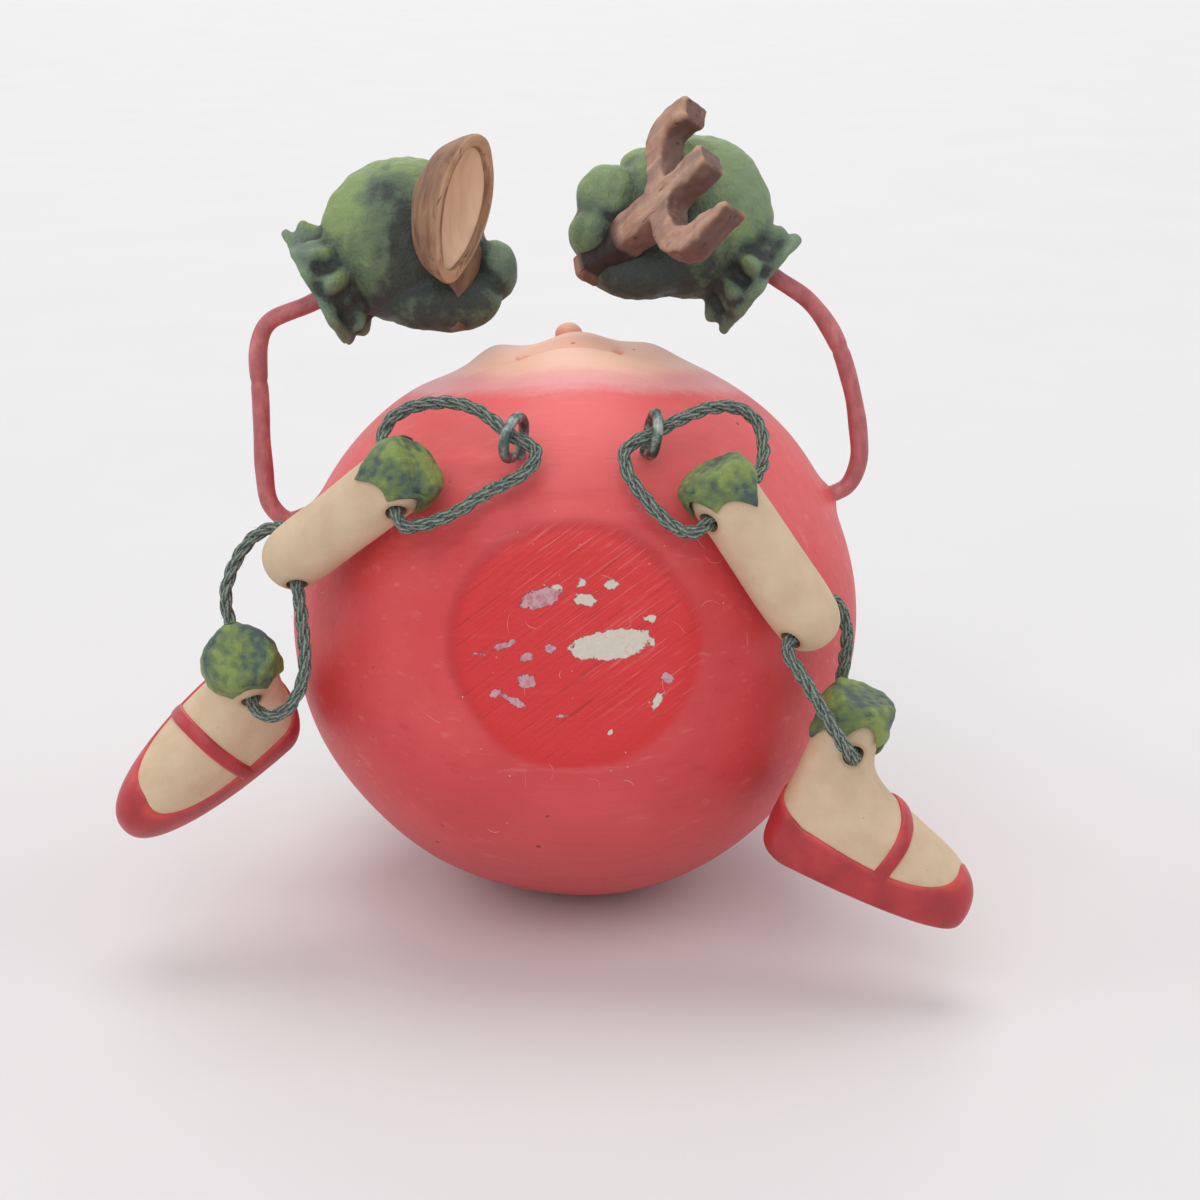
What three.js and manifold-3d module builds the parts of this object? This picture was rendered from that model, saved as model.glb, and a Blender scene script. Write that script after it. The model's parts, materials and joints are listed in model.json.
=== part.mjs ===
// Shelf sitter doll lying on its back: a ball body with wire arms and two legs that hang on cord loops.
// Millimetres, +Z up, floor at z = 0, seen from -Y. Left and right are the doll's own (its left is +X).
import * as THREE from 'three';
import { mergeVertices } from 'three/addons/utils/BufferGeometryUtils.js';
import Module from 'manifold-3d';

const wasm = await Module();
wasm.setup();

// Body
const BODY_R = 40;
const BODY_TOP = 40;
const SEAT_R = 15.5;
const SEAT_DROP = Math.sqrt(BODY_R ** 2 - SEAT_R ** 2);
const LEAN_DEG = -11.5;
const BODY_CENTRE = new THREE.Vector3(5, -3.2, BODY_R);
const GAP = 0.3;

// Wire, eyes and cord
const ARM_R = 1.25;
const ARM_SOCKET = 9;
const EYE_WIRE_R = 0.7;
const EYE_RING_R = 2.65;
const EYE_LIFT = 3.9;
const SHANK = 8;
const CORD_R = 0.9;
const HOLE_R = 1.4;

// Legs
const THIGH_R = 4.4;
const THIGH_LENGTH = 28;
const THIGH_TOP_HOLE = 5.8;
const THIGH_LOW_HOLE = 3.6;
const THIGH_CAP_SEAT = 2;
const LEAF_WALL = 0.9;
const FOOT_HALF_WIDTH = 6.7;
const ANKLE_R = 4.3;
const ANKLE_TOP = 24.4;
const ANKLE_HOLE = 17.2;
const ANKLE_HOLE_TURN = 28;
const STRAP_WIDTH = 2.1;
const STRAP_THICK = 0.55;

// Crown
const SEPALS = 7;
const SEPAL_HALF_WIDTH = 8.2;
const SEPAL_THICK = 5.2;
const STEM_R = 3.4;
const STEM_LENGTH = 9;

const COLOURS = {
  red: 0xc4383b, green: 0x6f8a4c, cream: 0xdcc6a8, brown: 0x8a6653,
  steel: 0xb4b8b6, cord: 0x55645f, wire: 0xb24c50,
};

const v3 = (x, y, z) => new THREE.Vector3(x, y, z);
const radians = THREE.MathUtils.degToRad;

// The doll's own frame has X to its left, Y up through the head and Z to the front.
const DOLL = new THREE.Matrix4().makeRotationX(radians(LEAN_DEG)).setPosition(BODY_CENTRE);
// Places of limbs are drawn round a ball of 40 mm radius, and keep their height above the skin of another.
const lifted = (point) => point.clone().setLength(point.length() + BODY_R - 40);
// Points of the legs are given from the body's centre, in the part's own directions.
const fromBody = (x, y, z) => lifted(v3(x, y, z)).add(BODY_CENTRE);

// Solids

function solid(geometry) {
  geometry.deleteAttribute('normal');
  geometry.deleteAttribute('uv');
  const merged = mergeVertices(geometry, 1e-4);
  const index = merged.index.array;
  const triangles = [];
  for (let i = 0; i < index.length; i += 3) {
    const [a, b, c] = [index[i], index[i + 1], index[i + 2]];
    if (a !== b && b !== c && a !== c) triangles.push(a, b, c);
  }
  return new wasm.Manifold(new wasm.Mesh({
    numProp: 3,
    vertProperties: new Float32Array(merged.attributes.position.array),
    triVerts: new Uint32Array(triangles),
  }));
}

const joined = (first, ...rest) => rest.reduce((sum, next) => sum.add(next), first);
const cut = (first, ...rest) => rest.reduce((left, next) => left.subtract(next), first);

function placed(geometry, matrix) {
  return solid(geometry.applyMatrix4(matrix));
}

// A frame whose X runs along `along`, whose Z is as near to `up` as it can be, and Y across.
function frameAt(origin, along, up) {
  const x = along.clone().normalize();
  const y = up.clone().cross(x).normalize();
  const z = x.clone().cross(y);
  return new THREE.Matrix4().makeBasis(x, y, z).setPosition(origin);
}

// Closed loops of equally many points, joined in order and closed at both ends.
function loft(sections) {
  const count = sections[0].length;
  const points = sections.flat();
  const index = [];
  for (let j = 0; j + 1 < sections.length; j += 1) {
    for (let i = 0; i < count; i += 1) {
      const a = j * count + i;
      const b = j * count + (i + 1) % count;
      index.push(a, b, a + count, b, b + count, a + count);
    }
  }
  for (const [row, turn] of [[0, 1], [sections.length - 1, 0]]) {
    const middle = sections[row].reduce((sum, p) => sum.add(p), v3(0, 0, 0)).divideScalar(count);
    const hub = points.push(middle) - 1;
    for (let i = 0; i < count; i += 1) {
      const pair = [row * count + i, row * count + (i + 1) % count];
      index.push(hub, pair[turn], pair[1 - turn]);
    }
  }
  const geometry = new THREE.BufferGeometry().setFromPoints(points);
  geometry.setIndex(index);
  return geometry;
}

// A turned shape whose profile [radius, height] may change with the angle; bottom to top.
function wavyTurning(profileAt, segments) {
  const loops = [];
  for (let j = 0; j < profileAt(0).length; j += 1) {
    const loop = [];
    for (let i = 0; i < segments; i += 1) {
      const angle = (2 * Math.PI * i) / segments;
      const [r, h] = profileAt(angle)[j];
      loop.push(v3(r * Math.cos(angle), r * Math.sin(angle), h));
    }
    loops.push(loop);
  }
  return loft(loops);
}

function tube(points, radius, sides, steps) {
  const curve = new THREE.CatmullRomCurve3(points, false, 'centripetal');
  const ring = new THREE.Shape().absarc(0, 0, radius, 0, 2 * Math.PI, false);
  const settings = { steps, curveSegments: sides / 2, bevelEnabled: false, extrudePath: curve };
  return new THREE.ExtrudeGeometry(ring, settings);
}

function rod(from, to, radius, sides = 12) {
  const geometry = new THREE.CylinderGeometry(radius, radius, from.distanceTo(to), sides);
  const turn = new THREE.Quaternion().setFromUnitVectors(v3(0, 1, 0), to.clone().sub(from).normalize());
  const middle = from.clone().add(to).multiplyScalar(0.5);
  return solid(geometry.applyQuaternion(turn).translate(middle.x, middle.y, middle.z));
}

function ellipsoid(centre, radii, segments = 16) {
  const geometry = new THREE.SphereGeometry(1, segments, Math.round(segments * 0.7));
  geometry.scale(...radii).translate(...centre);
  return geometry;
}

const inDoll = (geometry) => placed(geometry, DOLL);
const dollPoint = (x, y, z) => v3(x, y, z).applyMatrix4(DOLL);

// Body

// The ball's profile from the seat to the top, `grow` larger all over.
function bodySolid(grow, segments = 40) {
  const profile = [new THREE.Vector2(0, -SEAT_DROP - grow)];
  const start = Math.asin(SEAT_R / BODY_R);
  const rings = 19;
  for (let i = 0; i < rings; i += 1) {
    const angle = start + ((Math.PI - start) * i) / rings;
    const height = -Math.cos(angle);
    const r = (BODY_R + grow) * Math.sin(angle);
    profile.push(new THREE.Vector2(r, height * ((height > 0 ? BODY_TOP : BODY_R) + grow)));
  }
  profile.push(new THREE.Vector2(0, BODY_TOP + grow));
  return inDoll(new THREE.LatheGeometry(profile, segments, Math.PI / segments));
}

// Hands, in the doll's frame: [centre, radii] of the palm and of each finger lump, then the cuff's place,
// direction and size. The last lump of each hand curls over the handle that it holds.
const LEFT_HAND = {
  palm: [[16.2, -3, 55.6], [11.3, 8.6, 11.3]],
  lumps: [
    [[4.3, -3.6, 58.2], [4, 4.2, 4.4]],
    [[8.4, -1.6, 62], [3.4, 4, 3.8]],
    [[2.4, -2.4, 53], [3.6, 4.2, 3.9]],
    [[9.5, -4.4, 49.4], [8.6, 6.2, 5.2]],
    [[5.4, -8.8, 48.4], [4.8, 4.2, 3.4]],
  ],
  cuff: [[26.4, -3, 46.2], [-0.78, 0, 0.62], 7.6],
};
const RIGHT_HAND = {
  palm: [[-23.7, -3, 52.5], [11.4, 8.6, 11.4]],
  lumps: [
    [[-10.9, -2.6, 48.2], [3.2, 3.8, 4.3]],
    [[-13.6, 0.6, 53.6], [3.6, 3.8, 4]],
    [[-20, -4, 45.4], [7.4, 6, 4.4]],
    [[-15.8, -8, 43.6], [5.4, 5.2, 3.6]],
  ],
  cuff: [[-36, -3, 45.4], [0.87, 0, 0.5], 8.3],
};

// How far a hand and what it holds move out with the body's skin.
const shiftOf = (hand) => lifted(v3(...hand.palm[0])).sub(v3(...hand.palm[0]));

// Arms: [x, z] points of each bent wire in the plane ARM_PLANE of the doll's frame, body to hand.
const ARM_PLANE = -3;
const LEFT_ARM = [
  [35.4, 16.9], [38.2, 18.4], [39.7, 21.8], [39.6, 26.2],
  [38.5, 32.4], [36.2, 39], [32.6, 44], [28, 47.2],
];
const RIGHT_ARM = [
  [-36.2, 14.6], [-40.2, 13.8], [-42.6, 16], [-43.4, 21],
  [-43.7, 30], [-43.8, 38.2], [-42.4, 41.2], [-36.6, 43.8],
];
const armPoint = ([x, z]) => lifted(v3(x, ARM_PLANE, z)).applyMatrix4(DOLL);

function armWire(route, intoHand, hand) {
  const mouth = v3(route[0][0], ARM_PLANE, route[0][1]);
  const inward = v3(route[0][0], 0, route[0][1]).normalize().multiplyScalar(-ARM_SOCKET);
  const start = lifted(mouth).add(inward).applyMatrix4(DOLL);
  const end = v3(...intoHand).add(shiftOf(hand)).applyMatrix4(DOLL);
  return [start, ...route.map(armPoint), end];
}

const LEFT_WIRE = armWire(LEFT_ARM, [23.2, ARM_PLANE, 50.6], LEFT_HAND);
const RIGHT_WIRE = armWire(RIGHT_ARM, [-31.6, ARM_PLANE, 46.5], RIGHT_HAND);

const armSolid = (points, grow = 0, steps = 24) => solid(tube(points, ARM_R + grow, 8, steps));

// Screw eyes: where each stands on the body, and which way its ring's hole looks.
const LEFT_EYE = { foot: v3(9, -25, 29.9), look: v3(-0.97, -0.15, 0.17) };
const RIGHT_EYE = { foot: v3(-7, -25.8, 29.7), look: v3(-0.887, 0.431, 0.171) };

for (const eye of [LEFT_EYE, RIGHT_EYE]) {
  eye.out = eye.foot.clone().normalize();
  eye.foot = eye.out.clone().multiplyScalar(BODY_R).add(BODY_CENTRE);
  eye.look.projectOnPlane(eye.out).normalize();
  eye.ring = eye.foot.clone().addScaledVector(eye.out, EYE_LIFT);
}

// One bent wire: a straight shank, then round the ring and back to just short of the shank.
function eyeSolid(eye) {
  const side = eye.look.clone().cross(eye.out);
  const at = (x, y) => eye.ring.clone().addScaledVector(side, x).addScaledVector(eye.out, y);
  const points = [at(0, -EYE_LIFT - SHANK), at(0, -EYE_LIFT - 2), at(0.1, -EYE_LIFT)];
  for (let angle = -62; angle <= 235; angle += 27) {
    points.push(at(EYE_RING_R * Math.cos(radians(angle)), EYE_RING_R * Math.sin(radians(angle))));
  }
  return solid(tube(points, EYE_WIRE_R, 8, 26));
}

const eyeHole = (eye) => rod(
  eye.foot.clone().addScaledVector(eye.out, -SHANK - 0.6),
  eye.foot.clone().addScaledVector(eye.out, 3),
  EYE_WIRE_R + GAP,
);

function faceOn(body) {
  const nose = inDoll(ellipsoid([0, 2.6, BODY_R - 0.4], [2.1, 2.1, 2.6], 12));
  const cheeks = [-1, 1].map((side) => inDoll(ellipsoid([side * 11.5, -4.5, BODY_R - 4.6], [6, 5, 3.4], 12)));
  const smile = [];
  for (let x = -7; x <= 7; x += 3.5) {
    const y = -14.6 + 1.6 * (x / 7) ** 2;
    smile.push(dollPoint(x, y, Math.sqrt(BODY_R ** 2 - x * x - y * y) + 0.1));
  }
  return cut(joined(body, nose, ...cheeks), solid(tube(smile, 0.8, 6, 10)));
}

const tomatoBody = cut(
  faceOn(bodySolid(0)),
  armSolid(LEFT_WIRE.slice(0, 4), GAP, 8),
  armSolid(RIGHT_WIRE.slice(0, 4), GAP, 8),
  eyeHole(LEFT_EYE),
  eyeHole(RIGHT_EYE),
);

// Crown: a ring of sepals with flared tips, and a short bent stem. The two lowest tips reach the floor.

const TIP_HEIGHT = BODY_TOP - 8.2;
const TIP_REACH = (BODY_R + TIP_HEIGHT * Math.sin(radians(LEAN_DEG)))
  / (Math.cos(radians(LEAN_DEG)) * Math.cos(Math.PI / SEPALS)) - 0.9;

function sepal(turn) {
  const spine = new THREE.CatmullRomCurve3([
    v3(5, BODY_TOP + 1, 0), v3(17, BODY_TOP - 1.6, 0), v3(27, BODY_TOP - 7.4, 0),
    v3(TIP_REACH - 4.4, TIP_HEIGHT - 0.8, 0), v3(TIP_REACH, TIP_HEIGHT, 0),
  ]);
  const sections = [];
  for (let i = 0; i <= 7; i += 1) {
    const t = i / 7;
    const middle = spine.getPoint(t);
    const across = SEPAL_HALF_WIDTH * Math.sqrt(Math.max(0.02, 1 - ((t - 0.42) / 0.6) ** 2));
    const thick = SEPAL_THICK / 2 - 0.9 * t;
    const lift = spine.getTangent(t).cross(v3(0, 0, 1)).negate();
    const loop = [];
    for (let k = 0; k < 8; k += 1) {
      const angle = (2 * Math.PI * k) / 8;
      const droop = 0.12 * across * Math.cos(angle) ** 2;
      const point = middle.clone().addScaledVector(lift, thick * Math.sin(angle) - droop);
      loop.push(point.add(v3(0, 0, -across * Math.cos(angle))));
    }
    sections.push(loop);
  }
  return inDoll(loft(sections).rotateY(turn));
}

function crownSolid() {
  const cap = inDoll(ellipsoid([0, BODY_TOP - 1, 0], [14, 5.4, 14], 16));
  const stemPoints = [
    v3(0, BODY_TOP - 0.5, 0),
    v3(0.3, BODY_TOP + STEM_LENGTH / 2, 0.5),
    v3(1.4, BODY_TOP + STEM_LENGTH, 1.8),
  ];
  const stem = inDoll(tube(stemPoints, STEM_R, 8, 4));
  const leaves = [];
  for (let i = 0; i < SEPALS; i += 1) leaves.push(sepal((2 * Math.PI * i) / SEPALS - Math.PI / 2));
  return cut(joined(cap, stem, ...leaves), bodySolid(GAP));
}

// Hands: palm, finger lumps and a frilled cuff, all in the doll's frame

// A frilled disc that opens along +Z with its back at z = 0.
function cuffAt(centre, axis, size) {
  const profileAt = (angle) => {
    const frill = 0.9 * Math.cos(7 * angle) + 0.5 * Math.cos(3 * angle + 1);
    const fold = 1.1 * Math.sin(7 * angle + 0.6);
    return [[size * 0.55, 0], [size * 0.98 + frill, 0.3 + fold], [size + frill, 1.4 + fold],
      [size * 0.86 + frill * 0.6, 3.2 + fold * 0.5], [size * 0.66, 4.6], [size * 0.6, 8]];
  };
  const turn = new THREE.Quaternion().setFromUnitVectors(v3(0, 0, 1), v3(...axis).normalize());
  const geometry = wavyTurning(profileAt, 28).applyQuaternion(turn).translate(...centre);
  return inDoll(geometry);
}

function handSolid(hand, wire, held) {
  const shift = shiftOf(hand).transformDirection(DOLL).multiplyScalar(shiftOf(hand).length()).toArray();
  const lumps = hand.lumps.map(([centre, radii]) => inDoll(ellipsoid(centre, radii, 10)));
  const whole = joined(inDoll(ellipsoid(...hand.palm, 16)), cuffAt(...hand.cuff), ...lumps).translate(shift);
  return cut(whole, armSolid(wire.slice(-3), GAP, 6), held);
}

// Salad fork and spoon

const FORK_SCALE = 0.88;
const FORK_DEPTH = 4.4;
const FORK_AT = frameAt(
  v3(11, -13.4, 56.2).add(shiftOf(LEFT_HAND)),
  v3(0.663, -0.464, 0.583),
  v3(-0.729, -0.555, 0.387),
);

// A trident outline: handle along -X, middle tine along +X, outer tines curving out and back in.
function forkShape(grow) {
  const half = 2.6 + grow;
  const shape = new THREE.Shape();
  shape.moveTo(-15.4 - grow, -half);
  shape.lineTo(-4 - grow, -half);
  shape.bezierCurveTo(-2.5 - grow, -8, -grow, -12.6 - grow, 7, -12.6 - grow);
  shape.bezierCurveTo(10, -12.6 - grow, 13.2, -11.2, 14.8 + grow, -8.6);
  shape.lineTo(12, -6 + grow);
  shape.bezierCurveTo(10.6, -7.8, 9, -8.6, 7, -8.5 + grow);
  shape.bezierCurveTo(4.6 + grow, -8.4 + grow, 3.2 + grow, -6, 3.8 + grow, -2.4 - grow);
  shape.lineTo(15.4 + grow, -2.2 - grow);
  shape.lineTo(15.4 + grow, 2.2 + grow);
  shape.lineTo(3.8 + grow, 2.4 + grow);
  shape.bezierCurveTo(3.2 + grow, 6, 4.6 + grow, 8.4 - grow, 7, 8.5 - grow);
  shape.bezierCurveTo(9, 8.6, 10.6, 7.8, 12, 6 - grow);
  shape.lineTo(14.8 + grow, 8.6);
  shape.bezierCurveTo(13.2, 11.2, 10, 12.6 + grow, 7, 12.6 + grow);
  shape.bezierCurveTo(-grow, 12.6 + grow, -2.5 - grow, 8, -4 - grow, half);
  shape.lineTo(-15.4 - grow, half);
  return shape;
}

function forkSolid(grow = 0) {
  const depth = FORK_DEPTH + 2 * grow;
  const settings = { depth, bevelEnabled: false, curveSegments: 6 };
  const geometry = new THREE.ExtrudeGeometry(forkShape(grow), settings).translate(0, 0, -depth / 2);
  return inDoll(geometry.scale(FORK_SCALE, FORK_SCALE, 1).applyMatrix4(FORK_AT));
}

// The spoon's bowl is a deep half egg with a shallow hollow.
const SPOON_BOWL = { long: 10.8, wide: 6.6, deep: 7.6, rim: 1.1, hollow: 2.8 };
const SPOON_HANDLE_R = 1.6;
const SPOON_AT = frameAt(
  v3(-14, -12.9, 55.2).add(shiftOf(RIGHT_HAND)),
  v3(0.17, 0.08, 0.98),
  v3(0.8, -0.59, -0.1),
);

// Bowl along +X with its hollow facing +Z, and a round handle that runs down from its lower end.
function spoonSolid(grow = 0) {
  const { long, wide, deep, rim, hollow } = SPOON_BOWL;
  const inSpoon = (geometry) => inDoll(geometry.applyMatrix4(SPOON_AT));
  const bowl = inSpoon(ellipsoid([0, 0, 0], [long + grow, wide + grow, deep + grow], 18));
  const lid = inSpoon(new THREE.BoxGeometry(30, 20, 10).translate(0, 0, 5 + grow));
  const scoop = inSpoon(ellipsoid([0, 0, 1], [long - rim, wide - rim, hollow + 1], 16));
  const route = [v3(-9.2, -1.6, -3), v3(-11.8, -4, -2.6), v3(-15.8, -6.6, -2.4)];
  const handle = inSpoon(tube(route, SPOON_HANDLE_R + grow, 8, 4));
  return joined(grow > 0 ? cut(bowl, lid) : cut(bowl, lid, scoop), handle);
}

// Legs

// A thigh hangs from `top` to `low`; its cross holes lie across both the thigh and the body's radius.
function thighFrame(top, low) {
  const along = low.clone().sub(top).normalize();
  const out = top.clone().add(low).multiplyScalar(0.5).sub(BODY_CENTRE).projectOnPlane(along).normalize();
  return { along, out, across: along.clone().cross(out), start: top.clone().addScaledVector(along, -2.2) };
}

const LEFT_THIGH = thighFrame(fromBody(17.3, -32.7, 28.2), fromBody(31.4, -33.5, 7.3));
const RIGHT_THIGH = thighFrame(fromBody(-20.8, -29.9, 28.9), fromBody(-38, -22.7, 14.3));
const thighPoint = (thigh, t) => thigh.start.clone().addScaledVector(thigh.along, t);

// In a limb's local frame +Z runs up the limb from its far end and X along the cross hole.
function limbMatrix(origin, up, hole) {
  const z = up.clone().normalize();
  const x = hole.clone().projectOnPlane(z).normalize();
  return new THREE.Matrix4().makeBasis(x, z.clone().cross(x), z).setPosition(origin);
}

const crossHole = (height, reach) => rod(v3(-reach, 0, height), v3(reach, 0, height), HOLE_R, 14);

function thighLocal() {
  const top = THIGH_LENGTH - THIGH_CAP_SEAT;
  const profile = [
    [0, 0], [THIGH_R - 2.6, 0.3], [THIGH_R - 1.1, 1.4], [THIGH_R - 0.3, 3], [THIGH_R, 6],
    [THIGH_R, top - 6], [THIGH_R - 0.2, top - 1.4], [THIGH_R - 1, top - 0.2], [0, top],
  ];
  const turned = new THREE.LatheGeometry(profile.map(([r, h]) => new THREE.Vector2(r, h)), 20);
  const body = solid(turned.rotateX(Math.PI / 2));
  const holes = [THIGH_LENGTH - THIGH_TOP_HOLE, THIGH_LOW_HOLE].map((h) => crossHole(h, 2 * THIGH_R));
  return cut(body, ...holes);
}

// A lumpy leaf over a limb's top, flat above: pointed lobes that are long front and back, short at the hole.
function leafCap(limbR, top, seat, drop) {
  const inner = limbR + GAP;
  const profileAt = (angle) => {
    const lobe = 0.5 - 0.5 * Math.cos(2 * angle);
    const notch = 1.1 * Math.abs(Math.cos(3 * angle)) - 0.2;
    const lump = 0.2 * Math.sin(5 * angle + 1) + 0.1 * Math.cos(8 * angle);
    const hem = top - drop * (0.5 + 0.5 * lobe) + notch;
    const outer = inner + LEAF_WALL * (0.6 + 0.4 * lobe);
    const lining = [[0.6, seat + GAP], [inner - 1, seat + GAP], [inner, seat - 0.8], [inner, hem]];
    const flank = [[outer - 0.2, hem - 0.2], [outer + lump, hem + 0.8], [outer - 0.3 + lump, top - 1.1]];
    return [...lining, ...flank, [outer - 0.9 + lump * 0.5, top - 0.3], [outer - 3.2, top]];
  };
  return solid(wavyTurning(profileAt, 24));
}

// Outline of the foot at height h above the sole: rounded heel, long rounded toe.
const FOOT_PROFILE = [
  [0, -3.4, 21.6, 5.7], [0.7, -4.3, 23, 6.4], [3.4, -4.6, 23.4, FOOT_HALF_WIDTH],
  [6.2, -4.5, 22.6, 6.4], [8.6, -4.4, 20, 5.9], [10.6, -4.3, 14.6, 5.1],
  [12.6, -4.3, 8.4, 4.6], [14.6, -4.3, 5.4, 4.4], [17, -ANKLE_R, ANKLE_R, ANKLE_R],
  [ANKLE_TOP - 3.4, -4.1, 4.1, 4.1], [ANKLE_TOP - 2.2, -3.2, 3.2, 3.2],
];

function footLoft(grow) {
  const sections = FOOT_PROFILE.map(([h, back, front, half], row) => {
    const loop = [];
    const height = row === 0 ? h - grow : h;
    for (let i = 0; i < 20; i += 1) {
      const angle = (2 * Math.PI * i) / 20;
      const reach = Math.cos(angle) > 0 ? front + grow : -back + grow;
      const round = Math.sign(Math.sin(angle)) * Math.abs(Math.sin(angle)) ** 0.85;
      loop.push(v3(reach * Math.cos(angle), (half + grow) * round, height));
    }
    return loop;
  });
  return solid(loft(sections));
}

// Everything below the shoe's rim: high at heel and toe, low along the side.
function belowRim(lift) {
  const rim = [[-7, 8], [-2, 6.6], [3, 5.6], [9, 4.8], [15, 4.6], [19, 5.2], [22, 7.2], [26, 11]];
  const shape = new THREE.Shape();
  shape.moveTo(-7, -3);
  shape.lineTo(26, -3);
  shape.lineTo(26, rim[rim.length - 1][1] + lift);
  shape.splineThru(rim.slice(0, -1).reverse().map(([u, h]) => new THREE.Vector2(u, h + lift)));
  const slab = new THREE.ExtrudeGeometry(shape, { depth: 20, bevelEnabled: false, curveSegments: 3 });
  return solid(slab.translate(0, 0, -10).rotateX(Math.PI / 2));
}

// Each strap's place on its instep: distance from the ankle's line, forward lean and slant across in degrees.
const LEFT_STRAP = { at: 9, lean: 17, slant: 27 };
const RIGHT_STRAP = { at: 7.5, lean: 17, slant: 0 };

function strapBand(place, width) {
  const band = new THREE.BoxGeometry(width, 24, 30);
  band.rotateY(radians(place.lean)).rotateZ(radians(place.slant)).translate(place.at, 0, 6);
  return solid(band);
}

// The foot and its shoe are one outline, parted along the rim; the strap is let into the instep.
function footPieces(side, place) {
  const whole = footLoft(0);
  const strap = cut(whole, footLoft(-STRAP_THICK)).intersect(strapBand(place, STRAP_WIDTH));
  const bedWall = cut(footLoft(0.5), footLoft(-STRAP_THICK - GAP));
  const strapBed = bedWall.intersect(strapBand(place, STRAP_WIDTH + 2 * GAP));
  const upper = cut(whole, belowRim(GAP), strapBed);
  const shoe = joined(whole.intersect(belowRim(0)), cut(strap, belowRim(-0.4)));
  const turn = radians(90 - side * ANKLE_HOLE_TURN);
  const hole = v3(9 * Math.cos(turn), 9 * Math.sin(turn), ANKLE_HOLE);
  const bored = cut(upper, rod(hole, v3(-hole.x, -hole.y, ANKLE_HOLE), HOLE_R, 14));
  const leaf = leafCap(ANKLE_R, ANKLE_TOP, ANKLE_TOP - 2.2, 7.6);
  return { foot: bored, shoe, leaf: leaf.rotate([0, 0, THREE.MathUtils.radToDeg(turn)]) };
}

// A foot's local frame: X to the toe, Y across, Z up the ankle, origin on the ankle's line at the sole.
function footFrame(origin, toe, up) {
  const matrix = frameAt(origin, toe, up);
  const axis = (n) => v3(0, 0, 0).setFromMatrixColumn(matrix, n);
  return { matrix, toe: axis(0), side: axis(1), up: axis(2) };
}

const LEFT_FOOT = footFrame(
  fromBody(28.8, -33, -21.9),
  v3(0.884, -0.301, -0.357),
  v3(0.344, -0.095, 0.934),
);
const RIGHT_FOOT = footFrame(
  fromBody(-43.6, -14.8, -10.2),
  v3(-0.708, -0.48, -0.518),
  v3(0.02, -0.748, 0.663),
);

for (const [foot, side] of [[LEFT_FOOT, -1], [RIGHT_FOOT, 1]]) {
  const turn = radians(90 - side * ANKLE_HOLE_TURN);
  foot.across = foot.toe.clone().multiplyScalar(-Math.cos(turn)).addScaledVector(foot.side, -Math.sin(turn));
  foot.hole = v3(0, 0, ANKLE_HOLE).applyMatrix4(foot.matrix);
}

// Cords: each is one loop whose ends meet inside a hole of the limb below

const through = (centre, across, reaches) => reaches.map((d) => centre.clone().addScaledVector(across, d));

function cordLoop(centre, across, reach, between) {
  const leave = through(centre, across, [0.3, reach - 1.2, reach]);
  const enter = through(centre, across, [-reach, 1.2 - reach, -0.3]);
  return [...leave, ...between, ...enter];
}

const LEFT_HIP = cordLoop(thighPoint(LEFT_THIGH, THIGH_TOP_HOLE), LEFT_THIGH.across, THIGH_R + 2.5, [
  fromBody(11.8, -34.3, 23), fromBody(9.2, -32.8, 25.4), fromBody(6.6, -31, 28.6),
  fromBody(6.2, -29.2, 31.4), LEFT_EYE.ring, fromBody(13.2, -25.6, 34.2), fromBody(17.2, -23.2, 35.2),
  fromBody(20.8, -21.6, 35), fromBody(23.4, -21.4, 33.4), fromBody(24.2, -23.6, 31.4),
]);
const RIGHT_HIP = cordLoop(thighPoint(RIGHT_THIGH, THIGH_TOP_HOLE), RIGHT_THIGH.across, THIGH_R + 2.5, [
  fromBody(-24, -22, 33.4), fromBody(-21.4, -21.8, 35), fromBody(-17.2, -22.6, 36),
  fromBody(-12.6, -24.6, 35.6), RIGHT_EYE.ring, fromBody(-4.4, -29.6, 31.4), fromBody(-6.4, -31, 28.6),
  fromBody(-11, -31.2, 26.4), fromBody(-15.4, -32.6, 23.8),
]);

function kneeLoop(thigh, foot, sideOne, sideTwo) {
  const knee = thighPoint(thigh, THIGH_LENGTH - THIGH_LOW_HOLE);
  const pass = through(knee, thigh.across, [THIGH_R + 1.1, THIGH_R + 0.2, -THIGH_R - 0.2, -THIGH_R - 1.1]);
  return cordLoop(foot.hole, foot.across, ANKLE_R + 1.6, [...sideOne, ...pass, ...sideTwo]);
}

const LEFT_KNEE = kneeLoop(
  LEFT_THIGH,
  LEFT_FOOT,
  [fromBody(33.4, -41.9, -3.6), fromBody(30.6, -41, 1.2), fromBody(28.2, -39.8, 5)],
  [fromBody(35.2, -28.6, 7), fromBody(35, -27.4, 1.2), fromBody(34.6, -27.4, -2.4)],
);
const RIGHT_KNEE = kneeLoop(
  RIGHT_THIGH,
  RIGHT_FOOT,
  [fromBody(-46.2, -21.6, 9.4), fromBody(-45.2, -19.6, 13.2), fromBody(-42.4, -18, 17)],
  [
    fromBody(-35, -30, 7), fromBody(-34.8, -31.7, 2.6),
    fromBody(-36.2, -33, -1), fromBody(-38.6, -32.8, -3.2),
  ],
);

const cordSolid = (points) => solid(tube(points, CORD_R, 8, 36));

// The doll

const doll = new THREE.Group();
doll.name = 'shelf_sitter_doll';

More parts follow.
